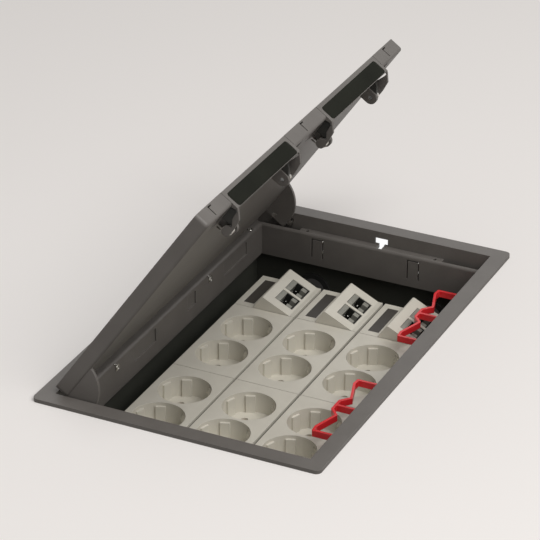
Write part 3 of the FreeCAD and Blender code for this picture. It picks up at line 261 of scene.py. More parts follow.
# Dark body of a data jack.
JACK_BODY = Finish("jack body, dark polycarbonate", "2a2a26", "232320", Texture.POLISHED_MOULD, 0.42, 0.5,
                   edge=0.1)
# Grey latch and shoulders of a data jack, with a lighter painted highlight along their edges.
JACK_GREY = Finish("jack latch, grey polycarbonate", "8f8e85", "83827a", Texture.POLISHED_MOULD, 0.4, 0.5,
                   edge=0.2, edge_highlight="b4b3a9", edge_highlight_weight=0.5)
# Black rubber bushings: matt with a slight bloom.
RUBBER = Finish("bushing rubber, moulded", "232321", "2a2a28", Texture.SPARK_ERODED, 0.7, 0.6, 0.02)
# Acetal clip: saturated red with a soft sheen, and a paler painted highlight along its edges.
CLIP_ACETAL = Finish("clip acetal, moulded", "f0333a", "e22a31", Texture.POLISHED_MOULD, 0.34, 0.6, 0.006,
                     edge=0.6, coat=0.15, edge_highlight="f87a78", edge_highlight_weight=0.6)
# Closed-cell foam: near-black and dull, with the open pores of a skived face.
EDGE_FOAM = Finish("edge foam, closed cell", "22231d", "1b1c17", Texture.SKIVED_FOAM, 0.85, 0.9, 0.12,
                   ior=1.22, spread=0.08)


def dress(names: list[str], finish: Finish) -> None:
    """Give CAD nodes a finish.

    Args:
        names: the CAD nodes.
        finish: what they are made of.
    """
    for name in names:
        node = frame["nodes"][name]
        node.data.materials.clear()
        node.data.materials.append(finish.material())
        LOG.info("dressed %s with %s", name, finish.name)


def new_piece(name: str, mesh: bmesh.types.BMesh, finish: Finish, smooth: bool = True) -> bpy.types.Object:
    """Turn a bmesh into a scene object with a finish.

    Args:
        name: the piece's name.
        mesh: its mesh, freed afterwards.
        finish: what it is made of.
        smooth: whether its faces are shaded smooth.

    Returns:
        The new object.
    """
    bmesh.ops.recalc_face_normals(mesh, faces=mesh.faces)
    data = bpy.data.meshes.new(name)
    mesh.to_mesh(data)
    mesh.free()
    for face in data.polygons:
        face.use_smooth = smooth
    data.materials.append(finish.material())
    made = bpy.data.objects.new(name, data)
    bpy.context.scene.collection.objects.link(made)
    LOG.info("made %s", name)
    return made


def join_rings(mesh: bmesh.types.BMesh, rings: list[list[bmesh.types.BMVert]]) -> None:
    """Join rings of as many corners each into one closed solid.

    Args:
        mesh: the mesh to add to.
        rings: the corners of each ring, in order.
    """
    count = len(rings[0])
    for lower, upper in zip(rings, rings[1:]):
        for index in range(count):
            after = (index + 1) % count
            mesh.faces.new((lower[index], lower[after], upper[after], upper[index]))
    mesh.faces.new(rings[0])
    mesh.faces.new(rings[-1])


@dataclass
class HingeFrame:
    """Axes of the opened lid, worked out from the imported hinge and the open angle.

    Attributes:
        open_angle: how far the lid stands open, in degrees.
        axis: a point of its axis, in metres, read from the record.
    """

    open_angle: float = 55.0
    axis: Vector = field(init=False)

    def __post_init__(self) -> None:
        """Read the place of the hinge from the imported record."""
        joint = next(j for j in frame["joints"] if j["name"] == "lid_hinge")
        self.axis = Vector(joint["pos_m"])

    def matrix(self) -> Matrix:
        """Return the matrix that opens a piece built for the closed lid."""
        turn = Matrix.Rotation(math.radians(-self.open_angle), 4, "Y")
        return Matrix.Translation(self.axis) @ turn @ Matrix.Translation(-self.axis)


HINGE = HingeFrame()


def seen_directly(tree: bpy.types.NodeTree) -> bpy.types.NodeSocket:
    """Add nodes that tell whether the eye, gloss or glass meets a thing.

    Args:
        tree: the node tree of a material or world.

    Returns:
        An output that is one for such rays and nought for the others.
    """
    path = add_node(tree, "LightPath")
    seen = add_node(tree, "Math", {"operation": "MAXIMUM"},
                    {0: path.outputs["Is Camera Ray"], 1: path.outputs["Is Glossy Ray"]})
    seen = add_node(tree, "Math", {"operation": "MAXIMUM"},
                    {0: seen.outputs[0], 1: path.outputs["Is Transmission Ray"]})
    return seen.outputs[0]


@dataclass
class Studio:
    """Floor, light and camera.

    Attributes:
        azimuth: camera's turn about the vertical, in degrees.
        elevation: camera's height above the horizon, in degrees.
        roll: camera's roll, in degrees.
        distance: from the camera to the middle of the opening, in millimetres.
        shift_x: camera moved sideways in its own plane, in millimetres.
        shift_y: camera moved upwards in its own plane, in millimetres.
        lens: focal length, in millimetres.
        sensor: width of the sensor, in millimetres.
        clip_start: nearest thing that the camera sees, in metres.
        floor_reach: half the width of the finished floor, in metres.
        floor_hem: the floor's cut-out as a share of the tub's outline.
        floor_tone: sRGB hex colour of the floor to the eye.
        floor_bounce: sRGB hex colour of the floor where it only lights other things.
        key_toward: direction of the soft box.
        key_tone: sRGB hex colour of its light.
        key_power: its power, in watts.
        key_side: its side, in metres.
        key_distance: its distance, in metres.
        sky: strength of the sky's light.
        sky_tone: sRGB hex colour of the sky's light.
        subfloor: half the width and half the length of the black floor under the tub, drawn as painted shade,
            in metres.
        subfloor_drop: that floor below the tub, in metres.
    """

    azimuth: float = 25.695
    elevation: float = 28.201
    roll: float = 0.096
    distance: float = 2198.152
    shift_x: float = -9.238
    shift_y: float = 41.978
    lens: float = 193.444
    sensor: float = 36.0
    clip_start: float = 0.05
    floor_reach: float = 4.0
    floor_hem: float = 1.001
    floor_tone: str = "f7f4f2"
    floor_bounce: str = "6e6b68"
    key_toward: tuple[float, float, float] = (0.5, -0.22, 0.84)
    key_tone: str = "fffdfb"
    key_power: float = 68.0
    key_side: float = 2.4
    key_distance: float = 3.0
    sky: float = 0.35
    sky_tone: str = "f4f2f0"
    subfloor: tuple[float, float] = (0.25, 0.25)
    subfloor_drop: float = 0.0005

    def build(self) -> None:
        """Make the camera, the two floors, the lamp and the sky."""
        self.add_camera()
        self.add_floor()
        self.add_subfloor()
        self.add_key_light()
        self.add_sky()

    def add_camera(self) -> None:
        """Place the camera by its angles and its moves in its own plane."""
        turn, rise, roll = (math.radians(v) for v in (self.azimuth, self.elevation, self.roll))
        back = Vector((math.sin(turn) * math.cos(rise), -math.cos(turn) * math.cos(rise), math.sin(rise)))
        level = Vector((math.cos(turn), math.sin(turn), 0))
        upright = back.cross(level)
        right = level * math.cos(roll) + upright * math.sin(roll)
        up = upright * math.cos(roll) - level * math.sin(roll)
        place = (right * self.shift_x + up * self.shift_y + back * self.distance) * MM
        place.z += FLOOR_LEVEL
        data = bpy.data.cameras.new("studio_camera")
        data.lens = self.lens
        data.sensor_width = self.sensor
        data.clip_start = self.clip_start
        made = bpy.data.objects.new("studio_camera", data)
        axes = Matrix((right, up, back)).transposed().to_4x4()
        made.matrix_world = Matrix.Translation(place) @ axes
        bpy.context.scene.collection.objects.link(made)
        bpy.context.scene.camera = made

    def add_floor(self) -> None:
        """Make the pale finished floor with a cut-out for the tub, hidden under the flange."""
        low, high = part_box("tub")
        hole = [Vector((x, y, FLOOR_LEVEL)) for x, y in
                ((low.x, low.y), (high.x, low.y), (high.x, high.y), (low.x, high.y))]
        mesh = bmesh.new()
        inner = [mesh.verts.new(corner * self.floor_hem) for corner in hole]
        outer = [mesh.verts.new((math.copysign(self.floor_reach, corner.x),
                                 math.copysign(self.floor_reach, corner.y), FLOOR_LEVEL)) for corner in hole]
        for vertex in inner:
            vertex.co.z = FLOOR_LEVEL
        for index in range(4):
            after = (index + 1) % 4
            mesh.faces.new((inner[index], inner[after], outer[after], outer[index]))
        data = bpy.data.meshes.new("finished_floor")
        mesh.to_mesh(data)
        mesh.free()
        data.materials.append(self.floor_material())
        made = bpy.data.objects.new("finished_floor", data)
        bpy.context.scene.collection.objects.link(made)

    def add_subfloor(self) -> None:
        """Lay a black floor just under the tub, painted shade that shows through the conduit entries."""
        half_x, half_y = self.subfloor
        mesh = bmesh.new()
        corners = [mesh.verts.new((x, y, -self.subfloor_drop)) for x, y in
                   ((-half_x, -half_y), (half_x, -half_y), (half_x, half_y), (-half_x, half_y))]
        mesh.faces.new(corners)
        made = new_piece("shade_subfloor", mesh, RAIL_COAT_AND_SHADE, smooth=False)

    def floor_material(self) -> bpy.types.Material:
        """Return a floor that looks pale to the eye and in gloss, but throws back less light."""
        made = bpy.data.materials.new("pale screed floor")
        made.use_nodes = True
        tree = made.node_tree
        tree.nodes.clear()
        seen = seen_directly(tree)
        pale = add_node(tree, "BsdfDiffuse", {"Color": linear(self.floor_tone)})
        dull = add_node(tree, "BsdfDiffuse", {"Color": linear(self.floor_bounce)})
        mixed = add_node(tree, "MixShader", None, {0: seen, 1: dull.outputs[0], 2: pale.outputs[0]})
        add_node(tree, "OutputMaterial", None, {"Surface": mixed.outputs[0]})
        return made

    def add_key_light(self) -> None:
        """Hang a large soft box to the right above the box, so the lid shades the hinge side."""
        toward = Vector(self.key_toward).normalized()
        data = bpy.data.lights.new("soft_box", "AREA")
        data.shape = "SQUARE"
        data.size = self.key_side
        data.energy = self.key_power
        data.color = linear(self.key_tone)[:3]
        made = bpy.data.objects.new("soft_box", data)
        made.matrix_world = (Matrix.Translation(toward * self.key_distance)
                             @ toward.to_track_quat("Z", "Y").to_matrix().to_4x4())
        bpy.context.scene.collection.objects.link(made)

    def add_sky(self) -> None:
        """Make an even sky that is white where the eye, gloss or glass meets it."""
        world = bpy.data.worlds.new("studio_sky")
        world.use_nodes = True
        tree = world.node_tree
        tree.nodes.clear()
        seen = seen_directly(tree)
        light = add_node(tree, "Background", {"Color": linear(self.sky_tone), "Strength": self.sky})
        white = add_node(tree, "Background", {"Color": (1, 1, 1, 1), "Strength": 1.0})
        mixed = add_node(tree, "MixShader", None, {0: seen, 1: light.outputs[0], 2: white.outputs[0]})
        add_node(tree, "OutputWorld", None, {"Surface": mixed.outputs[0]})
        bpy.context.scene.world = world
        bpy.context.scene.view_settings.view_transform = "Standard"


@dataclass
class CableFlapDress:
    """One cable flap: shell with an arm at each end, foam pad, coil springs, and the lid's parts at its pins.

    All lengths are in millimetres. A place in its cross-section is measured from the pin, first towards the
    lid's free edge and then upwards, and a place along it from its near or far end, with the lid closed.

    Attributes:
        side: "near" or "far".
        drum: inner radius of the shell.
        lip: height of its lower edge.
        chamfer: chamfer along its upper edge.
        head: shell above the foam recess.
        foot: shell below the foam recess, and the chamfer under it.
        border: shell left at each end of the foam recess.
        recess: depth of the foam recess.
        plate: thickness of an arm.
        corner: radius of the corners of the foam pad.
        crown: how far the middle of the pad swells.
        pad_gap: gap at each end of the pad.
        pad_head: top of the pad below the top of the shell.
        pad_foot: bottom of the pad above the shell's lower edge.
        wire: radius of the spring wire.
        coil: radius of the coils to the middle of the wire.
        turns: coils of each spring.
        per_turn: points in a coil.
        leg: length of a spring's legs.
        near_spring: span of the spring from the near end.
        far_spring: span of the spring from the far end.
        boss: radius of the boss round the far pin.
        eye: radius of an arm round the pin.
        rim: outer edge of an arm, from the shell to the pin.
        near_edge: inner edge of the arm at the near end, kept clear of the lid's round nose.
        far_edge: inner edge of the arm at the far end, kept clear of it too.
        lid_depth: the lid's underside below the top of the shell.
        shade_web: lower outline of the black web behind the near arm, painted shade in the pocket there.
        shade_web_top: its corners at the lid's underside.
        lug: lower outline of a lug.
        lug_top: its corners at the lid's underside.
        lug_end: radius of a lug round the pin.
        stub: radius of a stub pin.
        bevel: chamfer at the ends of a boss or pin.
    """

    side: str
    drum: float = 20.8
    lip: float = 4.0
    chamfer: float = 0.5
    head: float = 3.4
    foot: float = 0.3
    border: float = 3.1
    recess: float = 1.5
    plate: float = 2.0
    corner: float = 2.4
    crown: float = 0.25
    pad_gap: float = 0.1
    pad_head: float = 3.45
    pad_foot: float = 0.35
    wire: float = 0.55
    coil: float = 3.7
    turns: int = 4
    per_turn: int = 20
    leg: float = 7.5
    near_spring: tuple[float, float] = (2.3, 7.2)
    far_spring: tuple[float, float] = (5.3, 2.3)
    boss: float = 4.0
    eye: float = 3.4
    rim: Outline = ((20.9, 2.6), (15.2, -2.2), (6.4, -3.3), (3.4, -3.4))
    near_edge: Outline = ((3.6, 3.0), (6.3, -1.4), (12.0, 2.0), (16.0, 2.7), (20.2, 2.8))
    far_edge: Outline = ((0.0, 6.0), (5.0, 6.4), (12.0, 4.4), (17.0, 2.9), (20.2, 2.8))
    lid_depth: float = 11.7
    shade_web: Outline = ((18.6, 4.4), (14.2, -0.8), (9.2, -2.5), (5.6, -2.3))
    shade_web_top: tuple[float, float] = (5.0, 16.6)
    lug: Outline = ((10.6, 1.7), (5.4, -1.8))
    lug_top: tuple[float, float] = (4.4, 16.0)
    lug_end: float = 2.4
    stub: float = 1.4
    bevel: float = 0.4

    def __post_init__(self) -> None:
        """Read the pin's place and the flap's reach with the lid closed."""
        joint = next(j for j in frame["joints"] if j["name"] == f"flap_{self.side}_hinge")
        self.pin = HINGE.matrix().inverted() @ Vector(joint["pos_m"])
        low, high = self.closed_box(f"cable_flap_{self.side}")
        self.low, self.high = low.y / MM, high.y / MM
        self.face, self.top = (high.x - self.pin.x) / MM, (high.z - self.pin.z) / MM

    def build(self) -> None:
        """Make the shell, the pad, the springs and what carries them."""
        self.make_shell()
        self.make_pad()
        self.make_springs()
        self.make_carriers()

    def closed_box(self, node: str) -> tuple[Vector, Vector]:
        """Return a node's lowest and highest corners with the lid closed.

        Args:
            node: name of the node.

        Returns:
            The lowest corner and the highest corner, in metres.
        """
        back = HINGE.matrix().inverted()
        points = [back @ v.co for v in frame["nodes"][node].data.vertices]
        low = Vector(min(p[axis] for p in points) for axis in range(3))
        high = Vector(max(p[axis] for p in points) for axis in range(3))
        return low, high

    def spot(self, x: float, y: float, z: float) -> Vector:
        """Return a place given across and up from the pin, and along the lid.

        Args:
            x: from the pin towards the free edge.
            y: along the lid.
            z: up from the pin.

        Returns:
            The place with the lid closed, in metres.
        """
        return Vector((self.pin.x + x * MM, y * MM, self.pin.z + z * MM))

    def section(self, depth: float, trim: float) -> list[tuple[float, float]]:
        """Return the shell's cross-section.

        Args:
            depth: how deep the foam recess is cut into its face.
            trim: how much less high the recess is at its top and bottom.

        Returns:
            The outline, starting at the top of its face.
        """
        face, top, lip = self.face, self.top, self.lip
        inner = math.asin(lip / self.drum), math.asin(top / self.drum)
        steps = 10
        arc = [inner[0] + (inner[1] - inner[0]) * step / steps for step in range(steps + 1)]
        high, low = top - self.head - trim, lip + self.foot + trim
        return ([(face - self.chamfer, top), (face, top - self.chamfer), (face, high), (face - depth, high),
                 (face - depth, low), (face, low), (face - self.foot, lip)]
                + [(self.drum * math.cos(a), self.drum * math.sin(a)) for a in arc])

    def loft(self, mesh: bmesh.types.BMesh, rings: list[tuple[float, list[tuple[float, float]]]]) -> None:
        """Join cross-sections along the lid into one closed solid.

        Args:
            mesh: the mesh to add to.
            rings: the place along the lid and the cross-section of each, in order.
        """
        join_rings(mesh, [[mesh.verts.new(self.spot(x, y, z)) for x, z in ring] for y, ring in rings])

    def make_shell(self) -> None:
        """Make the drum-shaped shell with its foam recess, and an arm to the pin at each end."""
        first, last = self.low + self.border, self.high - self.border
        corner = [(self.corner * (1 - math.cos(math.radians(turn))),
                   self.section(self.recess, self.corner * (1 - math.sin(math.radians(turn)))))
                  for turn in (0, 25, 50, 70, 90)]
        closed = self.section(0.001, self.corner)
        mesh = bmesh.new()
        self.loft(mesh, [(self.low, closed), (first, closed)]
                  + [(first + along, ring) for along, ring in corner]
                  + [(last - along, ring) for along, ring in reversed(corner)]
                  + [(last, closed), (self.high, closed)])
        outer = [(20.5, self.lip + 0.6), (self.face - 0.5, self.lip - 0.1), *self.rim,
                 *self.arc(self.eye, -75, -270)]
        for start, arm in ((self.low, [*outer, *self.near_edge]),
                           (self.high - self.plate, [*outer, *self.far_edge])):
            self.loft(mesh, [(start, arm), (start + self.plate, arm)])
        shell = new_piece(f"flap_shell_{self.side}", mesh, FRAME_POLYAMIDE, smooth=False)
        self.settle(shell, f"flap_{self.side}", "frame_grey")
        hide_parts(f"cable_flap_{self.side}")

    def arc(self, radius: float, start: float, stop: float) -> list[tuple[float, float]]:
        """Return points of an arc about the pin.

        Args:
            radius: its radius.
            start: angle of its first point, in degrees.
            stop: angle of its last point, in degrees.

        Returns:
            The points in order.
        """
        steps = 14
        turns = [math.radians(start + (stop - start) * step / steps) for step in range(steps + 1)]
        return [(radius * math.cos(turn), radius * math.sin(turn)) for turn in turns]

    def settle(self, piece: bpy.types.Object, body: str, slot: str) -> None:
        """Open a piece with the lid, and give it its body.

        Args:
            piece: the piece, made for the closed lid.
            body: the body that it rides on.
            slot: the record's material slot; not used.
        """
        piece.data.transform(HINGE.matrix())
        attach(piece, body)

    def make_pad(self) -> None:
        """Make the foam pad as a slightly crowned slab with rounded corners."""
        middle_y = (self.low + self.high) / 2
        half_y = (self.high - self.low) / 2 - self.border - self.pad_gap
        low_z, high_z = self.lip + self.pad_foot, self.top - self.pad_head
        middle_z, half_z = (low_z + high_z) / 2, (high_z - low_z) / 2
        back, front = self.face - self.recess + 0.02, self.face
        mesh = bmesh.new()
        rings = []
        steps = 6
        for inset, level in ((0.0, back), (0.0, front - 0.5), (0.15, front - 0.12), (0.5, front),
                             (3.0, front + 0.6 * self.crown), (5.4, front + self.crown)):
            ring = []
            bend = max(self.corner - inset, 0.2)
            for corner in range(4):
                sign_y, sign_z = ((1, 1), (-1, 1), (-1, -1), (1, -1))[corner]
                centre_y = middle_y + sign_y * (half_y - inset - bend)
                centre_z = middle_z + sign_z * (half_z - inset - bend)
                for step in range(steps + 1):
                    angle = math.radians(90 * corner + 90 * step / steps)
                    ring.append(mesh.verts.new(self.spot(level, centre_y + bend * math.cos(angle),
                                                         centre_z + bend * math.sin(angle))))
            rings.append(ring)
        join_rings(mesh, rings)
        pad = new_piece(f"foam_pad_{self.side}", mesh, EDGE_FOAM)
        self.settle(pad, f"flap_{self.side}", "foam_dark")
        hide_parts(f"flap_foam_{self.side}")

    def spring_spans(self) -> tuple[tuple[float, float], tuple[float, float]]:
        """Return where the two springs lie along the lid, each beside its arm."""
        return ((self.low + self.near_spring[0], self.low + self.near_spring[1]),
                (self.high - self.far_spring[0], self.high - self.far_spring[1]))

    def make_springs(self) -> None:
        """Wind a torsion spring beside each arm, with a leg up to the lid at each of its ends."""
        steps = self.turns * self.per_turn
        for number, (start, stop) in enumerate(self.spring_spans(), start=1):
            path = []
            for step in range(steps + 1):
                angle = 2 * math.pi * step / self.per_turn
                level = start + self.wire + (stop - start - 2 * self.wire) * step / steps
                path.append(self.spot(-self.coil * math.cos(angle), level, self.coil * math.sin(angle)))
            first, last = path[0], path[-1]
            path.insert(0, first + Vector((0, 0, self.leg * MM)))
            path.append(last + Vector((0, 0, self.leg * MM)))
            spring = wire_piece(f"flap_spring_{self.side}_{number}", path, self.wire * MM, SPRING_STEEL)
            self.settle(spring, "lid", "bright_steel")
            if number == 1:
                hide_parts(f"flap_springs_{self.side}")

    def make_carriers(self) -> None:
        """Make the web and lugs, drawn black as painted shade in the pockets at the pins, the round boss at
        the far pin and the stub pins.
        """
        level = self.top - self.lid_depth
        shade_web = [*((x, level) for x in self.shade_web_top), *self.shade_web]
        lug = [*((x, level) for x in self.lug_top), *self.lug, *self.arc(self.lug_end, -90, -270)]
        plates, bosses, pins = bmesh.new(), bmesh.new(), bmesh.new()
        for start, stop, outline in ((self.low + 2.4, self.low + 4.4, shade_web),
                                     (self.low + 7.4, self.low + 9.4, lug),
                                     (self.high - 9.2, self.high - 7.2, lug)):
            self.loft(plates, [(start, outline), (stop, outline)])
        for start, stop, radius, mesh in ((self.high - 9.8, self.high - 5.4, self.boss, bosses),
                                          (self.low + 1.4, self.low + 9.6, self.stub, pins),
                                          (self.high - 9.5, self.high - 1.4, self.stub, pins)):
            # 345 degrees, so that the last point of a ring doesn't fall on its first.
            self.loft(mesh, [(place, self.arc(radius - shrink, 0, 345)) for place, shrink in
                             ((start, self.bevel), (start + self.bevel, 0.0),
                              (stop - self.bevel, 0.0), (stop, self.bevel))])
        # The web and lugs are drawn black: painted shade in the pockets round the pins.
        self.settle(new_piece(f"shade_web_and_lugs_{self.side}", plates, RAIL_COAT_AND_SHADE, smooth=False), "lid", "tub_black")
        self.settle(new_piece(f"pin_boss_{self.side}", bosses, ZINC_SHEET, smooth=False), "lid",
                    "zinc_steel")
        stubs = new_piece(f"stub_pins_{self.side}", pins, SPRING_STEEL, smooth=False)
        self.settle(stubs, "lid", "bright_steel")
        if self.side == "near":
            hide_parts("flap_pins")


def wire_piece(name: str, path: list[Vector], radius: float, finish: Finish,
               around: int = 8) -> bpy.types.Object:
    """Sweep a round wire along a path of points.

    Args:
        name: the piece's name.
        path: points of its middle line.
        radius: radius of the wire, in metres.
        finish: what it is made of.
        around: how many sides its cross-section has.

    Returns:
        The new object.
    """
    mesh = bmesh.new()
    count = len(path)
    side = Vector((0, 1, 0))
    rings = []
    for index, point in enumerate(path):
        ahead = (path[min(index + 1, count - 1)] - path[max(index - 1, 0)]).normalized()
        side = (side - ahead * side.dot(ahead))
        side = side.normalized() if side.length > 1e-6 else ahead.orthogonal().normalized()
        other = ahead.cross(side)
        rings.append([mesh.verts.new(point + radius * (side * math.cos(2 * math.pi * n / around)
                                                       + other * math.sin(2 * math.pi * n / around)))
                      for n in range(around)])
    join_rings(mesh, rings)
    return new_piece(name, mesh, finish)


def add_block(mesh: bmesh.types.BMesh, place: Callable[[float, float, float], Vector],
              low: tuple[float, float, float], high: tuple[float, float, float], bevel: float) -> None:
    """Add a block with chamfered upper edges to a mesh.

    Args:
        mesh: the mesh to add to.
        place: turns a block's own three measures into a place.
        low: lowest measures.
        high: highest measures.
        bevel: chamfer round its upper face.
    """
    rings = []
    for inset, level in ((0.0, low[2]), (0.0, high[2] - bevel), (bevel, high[2])):
        rings.append([mesh.verts.new(place(u, v, level)) for u, v in
                      ((low[0] + inset, low[1] + inset), (high[0] - inset, low[1] + inset),
                       (high[0] - inset, high[1] - inset), (low[0] + inset, high[1] - inset))])
    join_rings(mesh, rings)


@dataclass
class DataJack:
    """A data jack in the sloping face of a data module, sizes in millimetres.

    A place is measured down the slope from the port's upper end, across it from the jack's middle, and out
    of it.

    Attributes:
        strip: number of its strip.
        side: "near" or "far".
        ridge: ridge of the housing, from the edge of its plate.
        rise: ridge above the plate.
        run: level distance from the ridge to the foot of the slope.
        start: upper end of the port below the ridge, down the slope.
        length: port, down the slope.
        gap: between the port and the jack.
        half: half the width of the jack.
        latch: length of the grey latch.
        recess: face of the jack below the slope.
        depth: floor of its cavity below the slope.
        bottom: underside of its body below the slope.
        wall: walls at its sides.
        end_wall: wall at its lower end.
        root: lower end of the contacts below the slope.
        wires: number of contact wires.
        pitch: between two wires.
    """

    strip: int
    side: str
    ridge: float = 23.8
    rise: float = 11.8
    run: float = 24.1
    start: float = 8.3
    length: float = 16.6
    gap: float = 0.15
    half: float = 7.85
    latch: float = 4.5
    recess: float = 0.4
    depth: float = 14.0
    bottom: float = 18.9
    wall: float = 0.7
    end_wall: float = 0.5
    root: float = 13.8
    wires: int = 8
    pitch: float = 1.02

    def __post_init__(self) -> None:
        """Read where the plate and the jack lie."""
        low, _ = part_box(f"data_plate_{self.strip}")
        _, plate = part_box("socket_plate_1")
        near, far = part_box(f"data_jack_{self.strip}_{self.side}")
        self.origin = Vector((low.x + self.ridge * MM, (near.y + far.y) / 2, plate.z + self.rise * MM))
        self.fall = math.atan2(self.rise, self.run)

    def spot(self, down: float, across: float, out: float) -> Vector:
        """Return a place on the jack.

        Args:
            down: down the slope from the port's upper end.
            across: across the slope from the jack's middle.
            out: out of the slope.

        Returns:
            The place, in metres.
        """
        down += self.start
        cosine, sine = math.cos(self.fall), math.sin(self.fall)
        return self.origin + Vector((down * cosine + out * sine, across, out * cosine - down * sine)) * MM

    def build(self) -> None:
        """Make the dark body, the grey latch with its shoulders, and the middle contact with its wires."""
        label = f"{self.strip}_{self.side}"
        gap, half, floor, face = self.gap, self.half, -self.depth, -self.recess
        end, inner, root = self.length - gap, half - self.wall, -self.root
        body = bmesh.new()
        for low, high in (((gap, -half, -self.bottom), (end, half, floor)),
                          ((self.latch, -half, floor), (end, -inner, face)),
                          ((self.latch, inner, floor), (end, half, face)),
                          ((end - self.end_wall, -inner, floor), (end, inner, face))):
            add_block(body, self.spot, low, high, 0.12)
        self.settle(new_piece(f"jack_body_{label}", body, JACK_BODY, smooth=False), "jack_grey",
                    f"data_jack_{label}")
        grey = bmesh.new()
        for low, high in (((gap, -half, floor), (self.latch, half, face)),
                          ((1.0, -4.6, face - 0.2), (3.5, 4.6, face + 0.25)),
                          ((10.2, -inner, floor), (14.9, -3.0, -0.7)),
                          ((10.2, 3.0, floor), (14.9, inner, -0.7))):
            add_block(grey, self.spot, low, high, 0.25)
        self.settle(new_piece(f"jack_latch_{label}", grey, JACK_GREY, smooth=False), "jack_grey")
        pin = bmesh.new()
        add_block(pin, self.spot, (7.4, -0.45, root), (8.3, 0.45, -2.4), 0.25)
        for wire in range(self.wires):
            middle = (wire - (self.wires - 1) / 2) * self.pitch
            add_block(pin, self.spot, (self.latch + 0.3, middle - 0.2, root),
                      (self.latch + 0.8, middle + 0.2, -7.0), 0.1)
        self.settle(new_piece(f"jack_wires_{label}", pin, SPRING_STEEL, smooth=False), "gilt_wire",
                    f"jack_contacts_{self.strip}" if self.side == "near" else "")

    def settle(self, piece: bpy.types.Object, slot: str, node: str = "") -> None:
        """Let a piece ride on the box and stand for a node, if one is named.

        Args:
            piece: the piece.
            slot: the record's material slot; not used.
            node: the node that it stands for.
        """
        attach(piece, "box")
        if node:
            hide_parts(node)


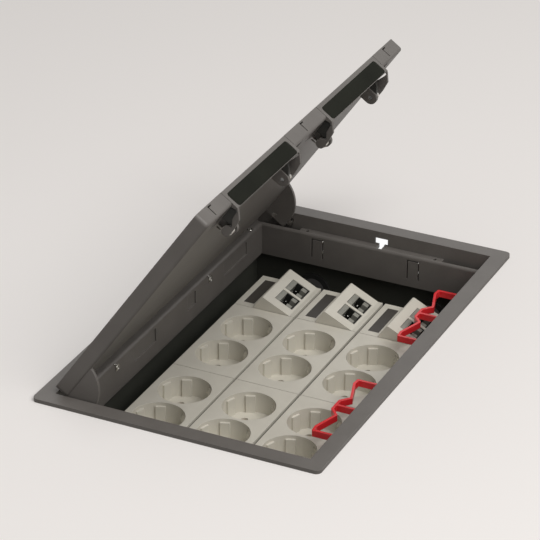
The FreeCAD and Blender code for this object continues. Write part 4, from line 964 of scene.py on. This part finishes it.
@dataclass
class FrameFittings:
    """Small wire and screw fittings of the frame, sizes in millimetres.

    Attributes:
        tongues: middles of the springy tongues in each end wall.
        slit: slits of a tongue from its middle.
        wall_y: inner face of an end wall.
        wall_x: inner face of the hinge-side wall.
        wire: radius of a tongue's spring wire.
        tongue_run: its middle line, out through the wall and up from the floor.
        rings: places of the wall rings along the box.
        drop: middle of a wall ring below the floor.
        ring: radius of a wall ring.
        ring_wire: radius of its wire.
        ring_out: ring in front of the wall.
        ring_steps: parts that a ring is cut into.
        tail: its tail, in front of the wall, along from the ring and up from the floor.
        head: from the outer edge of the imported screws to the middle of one.
        shank: radius of a screw's shank.
        turned: outline of a screw head, as its radius, how far its star swings that, and depth below its top.
        around: points round a screw.
    """

    tongues: tuple[float, float] = (-45.5, 38.7)
    slit: float = 4.8
    wall_y: float = 161.35
    wall_x: float = 95.55
    wire: float = 0.36
    tongue_run: Outline = (
        (3.2, -13.6), (0.5, -13.5), (-0.5, -14.3), (0.4, -15.6), (2.6, -16.8), (2.9, -20.0),
        (0.7, -22.4), (-0.1, -24.6), (0.8, -27.0), (3.0, -28.8))
    rings: tuple[float, float] = (-87.0, 67.5)
    drop: float = 15.5
    ring: float = 1.8
    ring_wire: float = 0.3
    ring_out: float = 0.7
    ring_steps: int = 14
    tail: tuple[tuple[float, float, float], ...] = ((0.9, 0.6, -13.2), (1.1, -2.4, -11.6), (0.8, -5.2, -9.9))
    head: float = 2.4
    shank: float = 1.25
    turned: tuple[tuple[float, float, float], ...] = (
        (1.25, 0.0, 1.8), (2.3, 0.0, 1.75), (2.35, 0.0, 0.5), (1.9, 0.0, 0.02), (1.05, 0.35, 0.02),
        (0.75, 0.3, 1.1))
    around: int = 24

    def build(self) -> None:
        """Make the tongue springs, the wall rings and the screws."""
        for end, sign in (("near", -1), ("far", 1)):
            for number, middle in enumerate(self.tongues, start=1):
                self.make_tongue_spring(f"tongue_spring_{end}_{number}", sign, middle + self.slit)
        for number, y in enumerate(self.rings, start=1):
            self.make_wall_ring(f"wall_ring_{number}", y)
        self.make_screws()

    def settle(self, piece: bpy.types.Object) -> None:
        """Let a fitting ride on the box."""
        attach(piece, "box")

    def make_tongue_spring(self, name: str, sign: int, x: float) -> None:
        """Bend a wire that shows at the top and in the lower half of a tongue's slit."""
        path = [Vector((x * MM, sign * (self.wall_y + y) * MM, FLOOR_LEVEL + z * MM))
                for y, z in self.tongue_run]
        self.settle(wire_piece(name, path, self.wire * MM, SPRING_STEEL))

    def make_wall_ring(self, name: str, y: float) -> None:
        """Bend a wire into a small ring on the hinge wall, with a tail up to the ledge."""
        path = []
        for step in range(self.ring_steps + 1):
            angle = 2 * math.pi * step / self.ring_steps
            path.append(Vector((self.ring_out, y + self.ring * math.cos(angle),
                                -self.drop + self.ring * math.sin(angle))))
        path += [Vector((out, y + along, up)) for out, along, up in self.tail]
        placed = [Vector(((-self.wall_x + p.x) * MM, p.y * MM, FLOOR_LEVEL + p.z * MM)) for p in path]
        self.settle(wire_piece(name, placed, self.ring_wire * MM, SPRING_STEEL))

    def make_screws(self) -> None:
        """Turn four pan-head screws with a star recess."""
        mesh = bmesh.new()
        low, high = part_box("frame_screws")
        levels = [(self.shank, 0.0, low.z)]
        levels += [(radius, star, high.z - depth * MM) for radius, star, depth in self.turned]
        for x in (low.x, high.x):
            for y in (low.y, high.y):
                centre = Vector((x - math.copysign(self.head * MM, x),
                                 y - math.copysign(self.head * MM, y), 0))
                rings = []
                for radius, star, level in levels:
                    rings.append([mesh.verts.new(centre + Vector((
                        (radius + star * math.cos(4 * a)) * MM * math.cos(a),
                        (radius + star * math.cos(4 * a)) * MM * math.sin(a), level)))
                        for a in (2 * math.pi * n / self.around for n in range(self.around))])
                join_rings(mesh, rings)
        screws = new_piece("ledge_screws", mesh, SPRING_STEEL, smooth=False)
        self.settle(screws)
        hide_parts("frame_screws")


@dataclass
class FloorBox:
    """The frame, tub and what stands in them.

    Attributes:
        strips: numbers of the socket strips.
        plates: numbers of the socket plates.
    """

    strips: tuple[int, ...] = (1, 2, 3)
    plates: tuple[int, ...] = (1, 2, 3, 4, 5, 6)

    def build(self) -> None:
        """Dress the nodes of the fixed box and make its jacks and fittings."""
        dress(["frame"], FRAME_POLYAMIDE)
        dress(["tub"], TUB_POWDER)
        dress(["rail_near", "rail_far"] + [f"carrier_{n}" for n in self.strips], RAIL_COAT_AND_SHADE)
        dress([f"socket_plate_{n}" for n in self.plates] + [f"data_plate_{n}" for n in self.strips],
              PLATE_BLEND)
        dress([f"contact_block_{n}" for n in self.plates], BLOCK_BLACK)
        dress([f"line_contacts_{n}" for n in self.strips] + ["earth_terminal"], CONTACT_BRASS)
        dress([f"earth_clips_{n}" for n in self.strips] + ["wall_spring_clips"], SPRING_STEEL)
        dress([f"label_window_{n}" for n in self.strips], SMOKED_ACRYLIC)
        dress(["conduit_grommets"], RUBBER)
        dress(["cable_clip_near", "cable_clip_far"], CLIP_ACETAL)
        for strip in self.strips:
            for side in ("near", "far"):
                DataJack(strip, side).build()
        FrameFittings().build()


@dataclass
class Lid:
    """The lid's shell with its tray plate and guide studs."""

    def build(self) -> None:
        """Dress the nodes of the lid, apart from those of its cable flaps."""
        dress(["lid_shell"], FRAME_POLYAMIDE)
        dress(["lid_tray_plate"], ZINC_SHEET)
        dress(["guide_studs"], SPRING_STEEL)


def main() -> None:
    """Build everything in order and report it."""
    logging.basicConfig(level=logging.INFO, format="%(name)s: %(message)s")
    Studio().build()
    FloorBox().build()
    Lid().build()
    for side in ("near", "far"):
        CableFlapDress(side).build()


if __name__ == "__main__":
    main()
